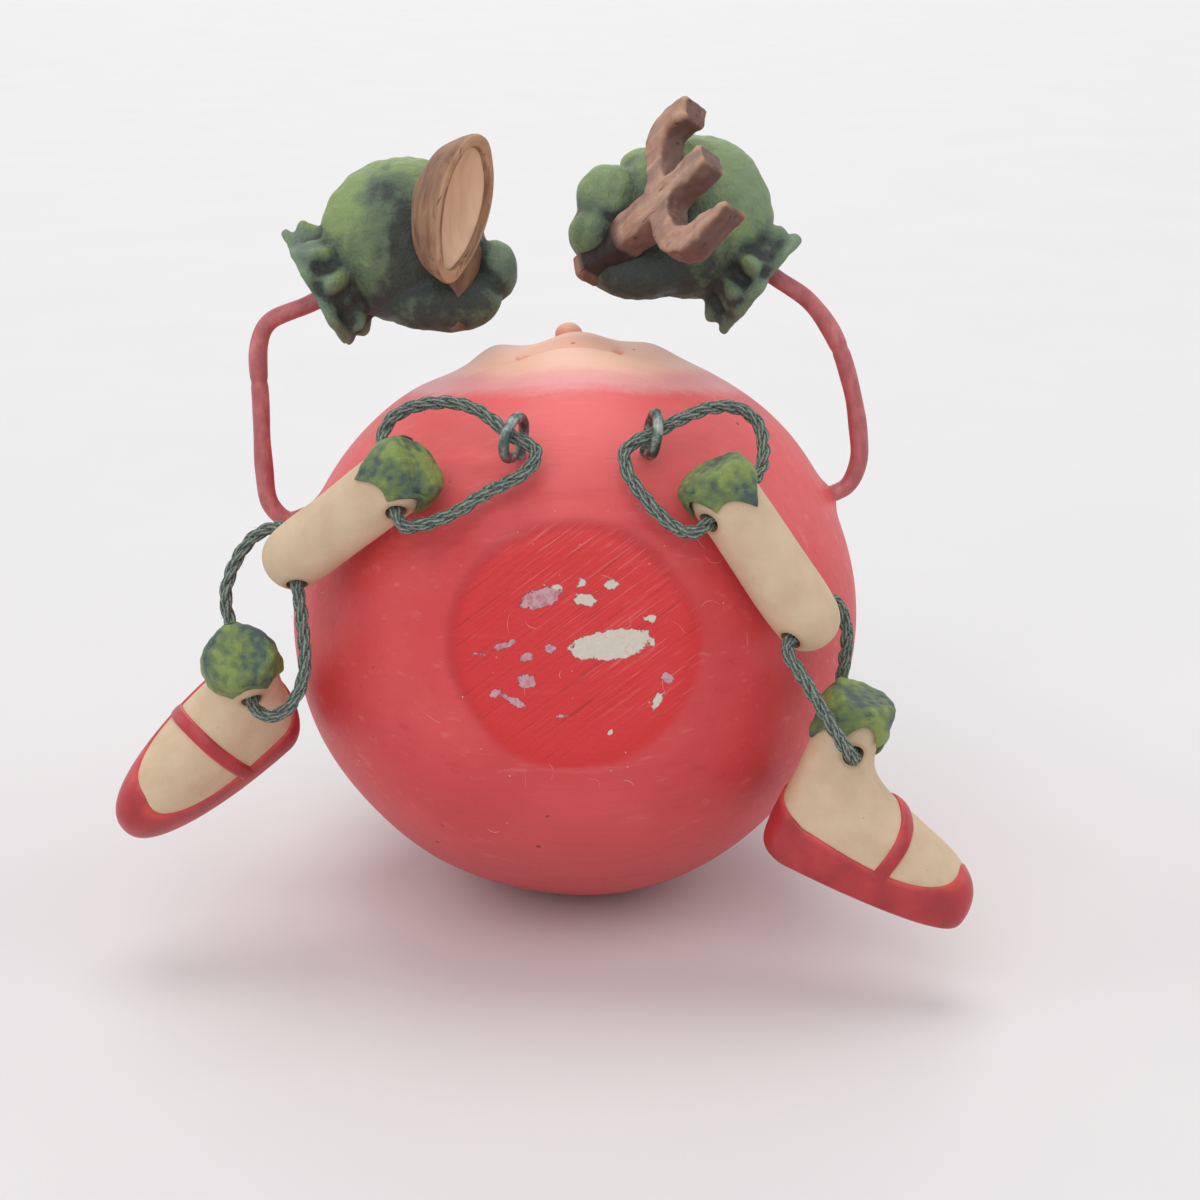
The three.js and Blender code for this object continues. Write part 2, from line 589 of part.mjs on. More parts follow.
function addMesh(name, shape, colour, roughness = 0.7, metalness = 0) {
  const mesh = shape.getMesh();
  const geometry = new THREE.BufferGeometry();
  geometry.setAttribute('position', new THREE.BufferAttribute(new Float32Array(mesh.vertProperties), 3));
  geometry.setIndex(Array.from(mesh.triVerts));
  const material = new THREE.MeshStandardMaterial({ color: COLOURS[colour], roughness, metalness });
  const piece = new THREE.Mesh(geometry, material);
  piece.name = name;
  doll.add(piece);
}

const placeSolid = (shape, matrix) => shape.transform(matrix.toArray());

addMesh('tomato_body', tomatoBody, 'red');
addMesh('leaf_crown', crownSolid(), 'green');
addMesh('salad_fork', forkSolid(), 'brown');
addMesh('salad_spoon', spoonSolid(), 'brown');

const SIDES = [
  {
    name: 'left', turn: -1, eye: LEFT_EYE, wire: LEFT_WIRE, hand: LEFT_HAND, held: forkSolid(GAP),
    thigh: LEFT_THIGH, foot: LEFT_FOOT, strap: LEFT_STRAP, hip: LEFT_HIP, knee: LEFT_KNEE,
  },
  {
    name: 'right', turn: 1, eye: RIGHT_EYE, wire: RIGHT_WIRE, hand: RIGHT_HAND, held: spoonSolid(GAP),
    thigh: RIGHT_THIGH, foot: RIGHT_FOOT, strap: RIGHT_STRAP, hip: RIGHT_HIP, knee: RIGHT_KNEE,
  },
];

for (const side of SIDES) {
  const { along, across } = side.thigh;
  const thighAt = limbMatrix(thighPoint(side.thigh, THIGH_LENGTH), along.clone().negate(), across);
  const thighLeaf = leafCap(THIGH_R, THIGH_LENGTH, THIGH_LENGTH - THIGH_CAP_SEAT, 7.8);
  const { foot, shoe, leaf } = footPieces(side.turn, side.strap);
  addMesh(`${side.name}_eye`, eyeSolid(side.eye), 'steel', 0.35, 1);
  addMesh(`${side.name}_arm_wire`, armSolid(side.wire), 'wire', 0.6);
  addMesh(`${side.name}_hand`, handSolid(side.hand, side.wire, side.held), 'green');
  addMesh(`${side.name}_hip_cord`, cordSolid(side.hip), 'cord', 0.95);
  addMesh(`${side.name}_thigh`, placeSolid(thighLocal(), thighAt), 'cream');
  addMesh(`${side.name}_thigh_leaf`, placeSolid(thighLeaf, thighAt), 'green');
  addMesh(`${side.name}_knee_cord`, cordSolid(side.knee), 'cord', 0.95);
  addMesh(`${side.name}_foot`, placeSolid(foot, side.foot.matrix), 'cream');
  addMesh(`${side.name}_shoe`, placeSolid(shoe, side.foot.matrix), 'red');
  addMesh(`${side.name}_ankle_leaf`, placeSolid(leaf, side.foot.matrix), 'green');
}

// Hinge lines for the four joints of each leg: a point and a direction, positive lifting away from the body.
const hinge = (point, axis) => ({ point: point.toArray(), axis: axis.clone().normalize().toArray() });
doll.userData.hinges = {};
for (const side of SIDES) {
  doll.userData.hinges[side.name] = {
    hip: hinge(side.eye.ring, side.eye.look),
    thigh: hinge(thighPoint(side.thigh, THIGH_TOP_HOLE), side.thigh.across),
    knee: hinge(thighPoint(side.thigh, THIGH_LENGTH - THIGH_LOW_HOLE), side.thigh.across),
    ankle: hinge(side.foot.hole, side.foot.across),
  };
}

export default doll;
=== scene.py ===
# %% [markdown]
# # A shelf sitter doll, lying on its back
# The real doll is a ball of cast resin with painted wire arms, leafy green hands and two legs that hang
# on loops of cord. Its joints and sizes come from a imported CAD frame. This lesson dresses that frame:
# every visible piece is a surface worked out with numpy in millimetres, placed where the frame has it,
# and painted with nodes.

# %% Load the frame
import json

import bpy
import numpy as np
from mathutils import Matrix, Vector

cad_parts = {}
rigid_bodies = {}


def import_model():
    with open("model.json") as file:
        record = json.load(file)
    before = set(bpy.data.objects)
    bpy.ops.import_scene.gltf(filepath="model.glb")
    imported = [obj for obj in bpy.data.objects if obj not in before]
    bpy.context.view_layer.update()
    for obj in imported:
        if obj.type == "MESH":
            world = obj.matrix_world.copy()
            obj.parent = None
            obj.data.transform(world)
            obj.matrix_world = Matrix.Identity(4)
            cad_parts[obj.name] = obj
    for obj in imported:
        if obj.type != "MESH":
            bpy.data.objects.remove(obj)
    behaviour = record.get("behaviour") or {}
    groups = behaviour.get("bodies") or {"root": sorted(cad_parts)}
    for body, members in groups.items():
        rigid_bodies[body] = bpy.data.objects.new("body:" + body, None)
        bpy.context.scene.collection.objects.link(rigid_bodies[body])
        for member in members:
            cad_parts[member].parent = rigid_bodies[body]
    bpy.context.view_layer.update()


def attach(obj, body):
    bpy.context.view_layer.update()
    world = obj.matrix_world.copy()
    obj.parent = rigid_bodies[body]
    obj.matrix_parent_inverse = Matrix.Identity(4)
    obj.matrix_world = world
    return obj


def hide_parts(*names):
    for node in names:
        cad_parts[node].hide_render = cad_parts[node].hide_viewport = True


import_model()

# %% [markdown]
# ## Shader maths as Python
# A painted finish is mostly arithmetic on positions. The class Value wraps one socket, so that sums and
# products written in Python add Math nodes. Nodes adds any other node to a material or a world, and Paint
# is one material.


# %% Values
def maths(operation, flipped=False):
    """A method for Value that adds one Math node; flipped makes the reflected form of an operator."""
    def method(self, *others):
        """The node's result, with self and the others as its inputs in turn."""
        terms = (*others, self) if flipped else (self, *others)
        return self.owner.node("ShaderNodeMath", {"operation": operation}, dict(enumerate(terms)))
    return method


class Value:
    """One socket that Python's arithmetic works on."""

    def __init__(self, owner, socket):
        """Keeps a socket and the nodes that it belongs to."""
        self.owner = owner
        self.socket = socket

    __add__, __radd__ = maths("ADD"), maths("ADD", True)
    __sub__, __rsub__ = maths("SUBTRACT"), maths("SUBTRACT", True)
    __mul__, __rmul__ = maths("MULTIPLY"), maths("MULTIPLY", True)
    __truediv__, __rtruediv__ = maths("DIVIDE"), maths("DIVIDE", True)
    most, least = maths("MAXIMUM"), maths("MINIMUM")
    root, size, sine = maths("SQRT"), maths("ABSOLUTE"), maths("SINE")

    def rise(self, low, high):
        """0 below low, 1 above high and smooth between; the other way round if low is above high."""
        ends = {"Value": self, "From Min": low, "From Max": high}
        return self.owner.node("ShaderNodeMapRange", {"interpolation_type": "SMOOTHSTEP"}, ends)


# %% Paint
MM = 0.001


def srgb(red, green, blue):
    """A colour as picked from a screen, 0 to 255, made linear."""
    part = np.array([red, green, blue]) / 255
    return (*np.where(part < 0.04045, part / 12.92, ((part + 0.055) / 1.055) ** 2.4), 1.0)


class Nodes:
    """The nodes and links of one material or world."""

    def __init__(self, tree):
        """Keeps the nodes and links of a tree."""
        self.nodes, self.links = tree.nodes, tree.links

    def node(self, kind, settings=None, inputs=None, out=0):
        """Any node: settings first, then a value or a link for each named or numbered socket."""
        node = self.nodes.new(kind)
        for key, value in (settings or {}).items():
            setattr(node, key, value)
        for key, value in (inputs or {}).items():
            self.feed(node.inputs[key], value)
        return Value(self, node.outputs[out])

    def feed(self, socket, value):
        """Links a Value to a socket, or sets a plain value on it."""
        if isinstance(value, Value):
            self.links.new(value.socket, socket)
        else:
            socket.default_value = value


class Paint(Nodes):
    """One material: a Principled shader and the nodes that feed it."""

    def __init__(self, name):
        """Makes the material and finds its shader."""
        self.material = bpy.data.materials.new(name)
        self.material.use_nodes = True
        super().__init__(self.material.node_tree)
        self.shader = self.nodes["Principled BSDF"]

    def place(self, turn=(0, 0, 0), shift=(0, 0, 0)):
        """Object coordinates in millimetres, turned and moved."""
        inputs = {"Location": shift, "Rotation": turn, "Scale": (1 / MM, 1 / MM, 1 / MM)}
        inputs["Vector"] = self.node("ShaderNodeTexCoord", out="Object")
        return self.node("ShaderNodeMapping", None, inputs)

    def stretched(self, vector, factors, turn=(0, 0, 0)):
        """Coordinates scaled by a factor on each axis and then turned."""
        return self.node("ShaderNodeMapping", None, {"Vector": vector, "Rotation": turn, "Scale": factors})

    def axes(self, vector):
        """The three parts of a vector."""
        first = self.node("ShaderNodeSeparateXYZ", None, {0: vector})
        return [Value(self, socket) for socket in first.socket.node.outputs]

    def noise(self, vector, scale, detail=3.0, rough=0.5, warp=0.0):
        """Cloudy values round 0.5; scale is in features per millimetre."""
        return self.node("ShaderNodeTexNoise", None, {
            "Vector": vector, "Scale": scale, "Detail": detail, "Roughness": rough, "Distortion": warp})

    def cells(self, vector, scale):
        """Distance to the nearest of many scattered points; scale is in points per millimetre."""
        return self.node("ShaderNodeTexVoronoi", None, {"Vector": vector, "Scale": scale}, "Distance")

    def mark(self, name):
        """A number that the piece carries at each vertex."""
        return self.node("ShaderNodeAttribute", {"attribute_name": name}, out="Fac")

    def coats(self, colour, *layers):
        """Coats over a colour, in turn: each is a mask and the colour that shows where the mask is 1."""
        for mask, over in layers:
            first, second = (c if isinstance(c, Value) else srgb(*c) for c in (colour, over))
            colour = self.node("ShaderNodeMix", {"data_type": "RGBA"}, {0: mask, 6: first, 7: second}, out=2)
        return colour

    def finish(self, colour, roughness, height=None, **constants):
        """Feeds the shader. height is the relief in millimetres; constants go straight on sockets."""
        self.feed(self.shader.inputs["Base Color"], colour)
        self.feed(self.shader.inputs["Roughness"], roughness)
        for key, value in constants.items():
            self.shader.inputs[key.replace("_", " ")].default_value = value
        if height is not None:
            bump = {"Height": height, "Distance": MM, "Strength": 1.0}
            self.feed(self.shader.inputs["Normal"], self.node("ShaderNodeBump", None, bump))
        return self.material


def mottled(name, scale, ends, first, second, roughness):
    """A plain paint in two tones that drift into each other; scale is in patches per millimetre."""
    paint = Paint(name)
    patch = paint.noise(paint.place(), scale).rise(*ends)
    return paint.finish(paint.coats(first, (patch, second)), roughness)


print("shader helpers ready")

# %% [markdown]
# ## Camera, light and table
# The photograph looks down at about 18 degrees from about 33 cm away, so the lens is a short telephoto.
# Suns with a wide angle act like big soft boxes and light the whole table evenly, which an area lamp
# would not. The room is a dim lamp, but the camera and shiny surfaces see it as pale as the table, which
# is plain and nearly white.

# %% Camera
scene = bpy.context.scene
scene.view_settings.view_transform = "Standard"


def put_in_scene(name, data):
    """A new object at the origin, linked to the scene."""
    obj = bpy.data.objects.new(name, data)
    scene.collection.objects.link(obj)
    return obj


def facing(direction):
    """The turn that points a camera or a lamp along a direction."""
    return Vector(direction).to_track_quat("-Z", "Y").to_euler()


camera = put_in_scene("camera", bpy.data.cameras.new("camera"))
camera.data.lens = 69.65
camera.data.sensor_width = 36
camera.location = (0.0050, -0.3170, 0.1420)
camera.rotation_euler = facing(Vector((0.0085, -0.0026, 0.0419)) - camera.location)
scene.camera = camera
print("camera at", tuple(round(v, 3) for v in camera.location))


# %% Light
def sun(name, strength, angle, towards, colour=(1, 0.99, 0.98)):
    """A distant lamp with a soft edge; towards is the direction that its light travels."""
    lamp = put_in_scene(name, bpy.data.lights.new(name, "SUN"))
    lamp.data.energy = strength
    lamp.data.angle = np.radians(angle)
    lamp.data.color = colour
    lamp.rotation_euler = facing(towards)


sun("overhead", 0.86, 36, (0.03, -0.25, -1))
sun("from_behind", 0.42, 45, (0.05, -0.86, -0.5))
sun("from_left", 0.42, 45, (0.86, -0.1, -0.5))
sun("from_right", 0.42, 45, (-0.86, -0.1, -0.5))
sun("from_camera", 0.93, 55, (0.2, 0.74, -0.7), (1, 0.98, 0.97))

ROOM_LIGHT, ROOM_SEEN = 0.4, 0.84
scene.world = bpy.data.worlds.new("room")
scene.world.use_nodes = True
room = Nodes(scene.world.node_tree)
RAYS = ("Is Camera Ray", "Is Glossy Ray", "Is Transmission Ray")
path_outputs = room.node("ShaderNodeLightPath").socket.node.outputs
straight, mirrored, through = (Value(room, path_outputs[kind]) for kind in RAYS)
level = straight.most(mirrored).most(through) * (ROOM_SEEN - ROOM_LIGHT) + ROOM_LIGHT
room.feed(room.nodes["Background"].inputs["Strength"], level)
room.feed(room.nodes["Background"].inputs["Color"], (0.96, 0.97, 1, 1))
print("room lights with", ROOM_LIGHT, "and shows as", ROOM_SEEN)

# %% Table
TABLE_HALF, TABLE_TOP = 60, -0.0001
table_paint = Paint("table_paint")
dust = table_paint.noise(table_paint.place(), 0.02, 4)
table_white = table_paint.coats((228, 227, 228), (dust, (233, 232, 232)))
corners = [(u * TABLE_HALF, v * TABLE_HALF, TABLE_TOP) for u, v in ((-1, -1), (1, -1), (1, 1), (-1, 1))]
mesh = bpy.data.meshes.new("table")
mesh.from_pydata(corners, [], [(0, 1, 2, 3)])
mesh.materials.append(table_paint.finish(table_white, 0.6, Specular_IOR_Level=0.12))
floor = put_in_scene("table", mesh)
print("table:", 2 * TABLE_HALF, "m square")

# %% [markdown]
# ## Surfaces from grids of points
# Every piece here is a grid: rows run along the piece and columns run round it. Working on whole grids
# keeps the formulas short. A grid becomes a closed shell with a fan at each end, and one or more shells
# become a piece.


# %% Curves and sections
def smooth_path(points, count):
    """A centripetal Catmull-Rom curve through points of any dimension, at count even steps."""
    p = np.asarray(points, float)
    ends = np.vstack([2 * p[0] - p[1], p, 2 * p[-1] - p[-2]])
    gap = np.sqrt(np.linalg.norm(np.diff(ends, axis=0), axis=1))[:, None]
    before, here, after = gap[:-2], gap[1:-1], gap[2:]
    a, b, c, d = ends[:-3], ends[1:-2], ends[2:-1], ends[3:]
    start = here * ((b - a) / before - (c - a) / (before + here) + (c - b) / here)
    stop = here * ((c - b) / here - (d - b) / (here + after) + (d - c) / after)
    t = np.linspace(0, 1, 24, endpoint=False)[:, None, None]
    line = (2 * t**3 - 3 * t**2 + 1) * b + (t**3 - 2 * t**2 + t) * start
    line = line + (3 * t**2 - 2 * t**3) * c + (t**3 - t**2) * stop
    line = np.vstack([line.transpose(1, 0, 2).reshape(-1, p.shape[1]), p[-1:]])
    along = np.append(0, np.cumsum(np.linalg.norm(np.diff(line, axis=0), axis=1)))
    steps = np.linspace(0, along[-1], count)
    return np.stack([np.interp(steps, along, line[:, k]) for k in range(p.shape[1])], 1)


def smooth_rows(grid, count):
    """More rows for a grid, on smooth curves through the rows that it has."""
    return smooth_path(grid.reshape(len(grid), -1), count).reshape(count, *grid.shape[1:])


def length_of(line):
    """The sum of a line's steps."""
    return np.linalg.norm(np.diff(line, axis=0), axis=1).sum()


def unit(v):
    """Vectors divided by their own length."""
    v = np.asarray(v, float)
    return v / np.linalg.norm(v, axis=-1, keepdims=True)


def across(path, lean):
    """Two unit vectors square to a path at each point; the first lies as near to lean as it can."""
    along = unit(np.gradient(path, axis=0))
    first = unit(lean - (along @ lean)[:, None] * along)
    return first, np.cross(along, first)


def sweep(path, lean, outline):
    """Carries a closed outline (rows or 1, columns, 2) along a path, in the two directions across it."""
    first, second = across(path, np.asarray(lean, float))
    return path[:, None] + outline[..., :1] * first[:, None] + outline[..., 1:] * second[:, None]


def turn_round(columns):
    """Even angles of one full turn."""
    return np.linspace(0, 2 * np.pi, columns, endpoint=False)


def ring(radius, columns):
    """A circle for sweep; radius is one number or one for each row."""
    a = turn_round(columns)
    return np.reshape(radius, (-1, 1, 1)) * np.stack([np.cos(a), np.sin(a)], -1)[None]


def egg(centre, radii, rows=24, columns=36):
    """An ellipsoid, pole to pole along its third axis."""
    up, a = np.linspace(0.03, np.pi - 0.03, rows)[:, None], turn_round(columns)
    unit_ball = np.stack([np.sin(up) * np.cos(a), np.sin(up) * np.sin(a), -np.cos(up) + 0 * a], -1)
    return np.asarray(centre) + unit_ball * np.asarray(radii)


print("curves and sections ready")


# %% Shells and pieces
def shell(grid, **marks):
    """Points, quads, triangles and marks of a grid, closed round its columns and by a fan at each end."""
    rows, columns = grid.shape[:2]
    here = np.arange(rows * columns).reshape(rows, columns)
    next_one = np.roll(here, -1, 1)
    quads = np.stack([here[:-1], next_one[:-1], next_one[1:], here[1:]], -1).reshape(-1, 4)
    foot, head = np.full(columns, rows * columns), np.full(columns, rows * columns + 1)
    first_fan, last_fan = [foot, next_one[0], here[0]], [head, here[-1], next_one[-1]]
    fans = np.vstack([np.stack(first_fan, -1), np.stack(last_fan, -1)])
    points = np.vstack([grid.reshape(-1, 3), grid[0].mean(0), grid[-1].mean(0)])
    corners = points[np.vstack([quads[:, [0, 1, 2]], quads[:, [0, 2, 3]], fans])]
    if np.einsum("ij,ij->", corners[:, 0], np.cross(corners[:, 1], corners[:, 2])) < 0:
        quads, fans = quads[:, ::-1], fans[:, ::-1]
    full = {key: np.broadcast_to(value, (rows, columns)) for key, value in marks.items()}
    at_points = {k: np.append(v.ravel(), [v[0].mean(), v[-1].mean()]) for k, v in full.items()}
    return points, quads, fans, at_points


def add_marks(mesh, **marks):
    """Stores numbers at a mesh's vertices for its paint to read."""
    for key, values in marks.items():
        mesh.attributes.new(key, "FLOAT", "POINT").data.foreach_set("value", np.asarray(values, np.float32))


def mesh_of(shells, name="work"):
    """A mesh in metres of shells in millimetres, with the marks that they carry."""
    start = np.cumsum([0] + [len(s[0]) for s in shells])
    faces = [f for s, first in zip(shells, start) for f in (s[1] + first).tolist() + (s[2] + first).tolist()]
    mesh = bpy.data.meshes.new(name)
    mesh.from_pydata((np.vstack([s[0] for s in shells]) * MM).tolist(), [], faces)
    add_marks(mesh, **{key: np.concatenate([s[3][key] for s in shells]) for key in shells[0][3]})
    return mesh


def dress(name, mesh, body, material, slot, stands_for=(), sharp=40):
    """A mesh as an object: smooth faces, sharp folds, its paint, its body and the nodes it stands for."""
    mesh.shade_smooth()
    mesh.set_sharp_from_angle(angle=np.radians(sharp))
    mesh.materials.append(material)
    obj = put_in_scene(name, mesh)
    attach(obj, body)
    if stands_for:
        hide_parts(*stands_for)
    print(f"{name}: {len(mesh.polygons)} faces")
    return obj


def piece(name, shells, *dressing, **options):
    """One dressed object from shells in millimetres."""
    return dress(name, mesh_of(shells, name), *dressing, **options)


# %% [markdown]
# ## The doll's own frame
# The doll lies on its back and leans a little, so its head end points away from the camera and slightly
# down. Body, face, arms and hands are easier to think of with X to its left, Y up through the head and Z
# to the front.

# %% The doll's own frame
LEAN = np.radians(-11.5)
CENTRE = np.array([5.0, -3.2, 40.0])
BODY_R, SEAT_R = 40.0, 15.5
SEAT_DROP = np.sqrt(BODY_R**2 - SEAT_R**2)
DOLL = np.array([[1, 0, 0], [0, np.cos(LEAN), -np.sin(LEAN)], [0, np.sin(LEAN), np.cos(LEAN)]])


def in_doll(points):
    """Points of the doll's frame, turned by its lean and moved to where the ball lies."""
    return np.asarray(points, float) @ DOLL.T + CENTRE


def from_body(points):
    """Points measured from the ball's centre along the table's axes."""
    return np.asarray(points, float) + CENTRE


def frame_at(origin, along, up):
    """The place of a tool or a foot: columns X along, Y across and Z nearest to up, and the origin."""
    x = unit(along)
    y = unit(np.cross(np.asarray(up, float), x))
    return np.stack([x, y, np.cross(x, y)], 1), np.asarray(origin, float)


def put(points, place):
    """Points of a frame, turned and moved to the table's axes."""
    return points @ place[0].T + place[1]


print("seat lies", round(SEAT_DROP, 2), "mm from the ball's centre")

# %% [markdown]
# ## Cords
# Each leg hangs on two loops of cord with a diameter of 1.8 mm: one through the screw eye and the thigh,
# one through the thigh and the ankle. Their lines go through the CAD's points, with the bends a little
# rounder. The cord is laid from three strands, so each strand is a thin tube that winds round the line
# once in 7.5 mm, and loose fibres stand off it.

# %% Where legs and eyes are
CORD_D, LAY = 1.8, 7.5
THIGH_R, THIGH_LENGTH, THIGH_TOP_HOLE, THIGH_LOW_HOLE = 4.4, 28.0, 5.8, 3.6
ANKLE_R, ANKLE_TOP, ANKLE_HOLE, ANKLE_HOLE_TURN = 4.3, 24.4, 17.2, np.radians(28)
EYE_RISE = 3.9
EYES = {"left": ([9, -25, 29.9], [-0.97, -0.15, 0.17]),
        "right": ([-7, -25.8, 29.7], [-0.887, 0.431, 0.171])}


def thigh_frame(top, low):
    """The thigh's line, the direction of its cross holes, and the point where its leaf begins."""
    top, low = from_body(top), from_body(low)
    along = unit(low - top)
    out = (top + low) / 2 - CENTRE
    out = unit(out - (out @ along) * along)
    return {"along": along, "across": np.cross(along, out), "start": top - 2.2 * along}


def eye_frame(side):
    """Direction out of the ball at a screw eye, direction that its ring looks in, and the ring's middle."""
    foot, look = (np.array(v, float) for v in EYES[side])
    out = unit(foot)
    return out, unit(look - (look @ out) * out), CENTRE + (BODY_R + EYE_RISE) * out


THIGHS = {"left": thigh_frame([17.3, -32.7, 28.2], [31.4, -33.5, 7.3]),
          "right": thigh_frame([-20.8, -29.9, 28.9], [-38, -22.7, 14.3])}
FEET = {"left": frame_at(from_body([28.8, -33, -21.9]), [0.884, -0.301, -0.357], [0.344, -0.095, 0.934]),
        "right": frame_at(from_body([-43.6, -14.8, -10.2]), [-0.708, -0.48, -0.518], [0.02, -0.748, 0.663])}
ANKLE_TURN = {"left": np.pi / 2 + ANKLE_HOLE_TURN, "right": np.pi / 2 - ANKLE_HOLE_TURN}


def ankle_line(side):
    """Middle of the ankle's cross hole and its direction."""
    axes, origin = FEET[side]
    a = ANKLE_TURN[side]
    return origin + ANKLE_HOLE * axes[:, 2], -np.cos(a) * axes[:, 0] - np.sin(a) * axes[:, 1]


# %% Cord lines
def loop(middle, direction, reach, between):
    """A cord's points: out of a hole, along the points between, and back into the hole's other mouth."""
    leave = middle + np.outer([0.3, reach - 1.2, reach], direction)
    enter = middle + np.outer([-reach, 1.2 - reach, -0.3], direction)
    return np.vstack([leave, between, enter])


def hip_loop(side, first, second):
    """From the thigh's upper hole along first, through the screw eye, and back along second."""
    thigh = THIGHS[side]
    hole = thigh["start"] + THIGH_TOP_HOLE * thigh["along"]
    between = np.vstack([from_body(first), eye_frame(side)[2][None], from_body(second)])
    return loop(hole, thigh["across"], THIGH_R + 2.5, between)


def knee_loop(side, first, second):
    """From the ankle's hole along first, through the thigh's lower hole, and back along second."""
    thigh = THIGHS[side]
    knee = thigh["start"] + (THIGH_LENGTH - THIGH_LOW_HOLE) * thigh["along"]
    through = knee + np.outer([THIGH_R + 1.1, THIGH_R + 0.2, -THIGH_R - 0.2, -THIGH_R - 1.1], thigh["across"])
    return loop(*ankle_line(side), ANKLE_R + 1.6, np.vstack([from_body(first), through, from_body(second)]))


CORDS = {
    "left_hip": hip_loop(
        "left", [[11.8, -34.3, 23], [9.2, -32.8, 25.4], [6.6, -31, 28.6], [6.2, -29.2, 31.4]],
        [[13.2, -25.6, 34.2], [17.2, -23.2, 35.2], [20.8, -21.6, 35], [23.4, -21.4, 33.4],
         [24.2, -23.6, 31.4]]),
    "left_knee": knee_loop(
        "left", [[33.4, -41.9, -3.6], [30.6, -41, 1.2], [28.2, -39.8, 5]],
        [[35.2, -28.6, 7], [35, -27.4, 1.2], [34.6, -27.4, -2.4]]),
    "right_hip": hip_loop(
        "right", [[-24, -22, 33.4], [-21.4, -21.8, 35], [-17.2, -22.6, 36], [-12.6, -24.6, 35.6]],
        [[-4.4, -29.6, 31.4], [-6.4, -31, 28.6], [-11, -31.2, 26.4], [-15.4, -32.6, 23.8]]),
    "right_knee": knee_loop(
        "right", [[-46.2, -21.6, 9.4], [-45.2, -19.6, 13.2], [-42.4, -18, 17]],
        [[-35, -30, 7], [-34.8, -31.7, 2.6], [-36.2, -33, -1], [-38.6, -32.8, -3.2]]),
}
print("cords:", {name: len(points) for name, points in CORDS.items()}, "points")

# %% Cord paint
cord_paint = Paint("cord_paint")
where = cord_paint.place()
groove, around, along = (cord_paint.mark(name) for name in ("groove", "around", "along"))
streak = cord_paint.noise(where, 1.6, 4, 0.65)
fibre = ((around * 5 + along * 1.1) * 2 * np.pi + streak * 9).sine()
fleck = cord_paint.noise(where, 5.0, 2, 0.6).rise(0.58, 0.7)
# The dark coat on each strand's inner side (mark groove) is painted shade where the strands press together.
cord_grey = cord_paint.coats(
    (78, 95, 91), (streak.rise(0.3, 0.7), (126, 142, 134)), (fibre.rise(0.2, 1.0) * 0.6, (178, 185, 170)),
    (fibre.rise(-0.2, -1.0) * 0.6, (46, 60, 60)), (fleck * 0.6, (200, 204, 190)),
    (groove.rise(0.5, 0.95) * 0.85, (30, 42, 43)))
cord = cord_paint.finish(cord_grey, 0.9, fibre * 0.05 + streak * 0.1 + fleck * 0.05, Specular_IOR_Level=0.2)
fuzz = mottled("fuzz_paint", 0.8, (0.35, 0.65), (120, 134, 124), (196, 200, 186), 0.9)
print("cord paint ready")

# %% Ropes
STRANDS, STRAND_R, STRAND_OUT, BEND_ROUNDS, ROPE_ROWS = 3, 0.45, 0.46, 60, 260
FIBRES, FIBRE_LONG, FIBRE_R = 110, 1.7, 0.035


def loose_fibres(line, seed):
    """Hairs that leave a cord's skin: each starts there and bends along it, as a thin 3-sided tube."""
    rng = np.random.default_rng(seed)
    at = rng.integers(4, len(line) - 4, FIBRES)
    along = unit(np.gradient(line, axis=0))[at]
    out = unit(np.cross(along, rng.normal(size=(FIBRES, 3))))
    slant = rng.normal(0, 0.9, (FIBRES, 1)) * along + rng.normal(0, 0.3, (FIBRES, 3))
    reach = rng.uniform(0.4, 1.0, (FIBRES, 1)) ** 2 * FIBRE_LONG
    t = np.linspace(0, 1, 5)[:, None, None]
    spine = line[at] + 0.6 * out + reach * (t * (out + 0.4 * slant) + t**2 * (0.9 * slant - 0.5 * out))
    width = FIBRE_R * (1 - 0.7 * t)
    a = turn_round(3)[:, None, None]
    grids = spine[:, None] + width[:, None] * (np.cos(a) * np.cross(along, out) + np.sin(a) * along)
    return [shell(grids[:, :, k]) for k in range(FIBRES)]


def rope(name, body, node):
    """Strands wound round a cord's line. A strand's columns start on its inner side, to hide its seam."""
    line = smooth_path(CORDS[name], ROPE_ROWS)
    for _ in range(BEND_ROUNDS):
        line[1:-1] = (line[:-2] + 2 * line[1:-1] + line[2:]) / 4
    length = length_of(line)
    first, second = across(line, np.linalg.svd(line - line.mean(0))[2][2])
    along = np.linspace(0, length, len(line))
    around = turn_round(12)
    shells = []
    for strand in range(STRANDS):
        a = 2 * np.pi * (along / LAY + strand / STRANDS)[:, None]
        inward = -np.cos(a) * first - np.sin(a) * second
        spine = line - STRAND_OUT * inward
        aside = np.cross(unit(np.gradient(spine, axis=0)), inward)
        section = np.cos(around)[:, None] * inward[:, None] + np.sin(around)[:, None] * aside[:, None]
        grid = spine[:, None] + (STRAND_R + 0.02 * np.sin(along * 2.3 + strand))[:, None, None] * section
        # groove is 1 on a strand's inner side, where the paint puts painted shade.
        depth, share = 0.5 + 0.5 * np.cos(around), around / (2 * np.pi)
        shells.append(shell(grid, groove=depth, around=share, along=along[:, None]))
    obj = piece(name + "_rope", shells, body, cord, "cord_grey", [node])
    piece(name + "_fuzz", loose_fibres(line, len(name)), body, fuzz, "cord_grey")
    print(f"{name}: {length:.1f} mm of cord")


for name in CORDS:
    rope(name, f"{name}_loop", f"{name}_cord")

# %% [markdown]
# ## The ball and its face
# The body is one casting: a ball with a flat seat, low waves from the mould, and a face in relief at the
# front. It is a grid of rings round the seat. The columns are packed closer at the face, where the mouth
# and the nose need them. The face is a sum of smooth bumps and grooves, each a bell curve over the ball.

# %% Face
MOUTH_X, MOUTH_HALF, LIP_Y, LIP_CURVE, CORNER_Y = -0.7, 6.7, -15.6, 0.011, -12.6
NOSE_X, NOSE_Y = -0.8, 2.6


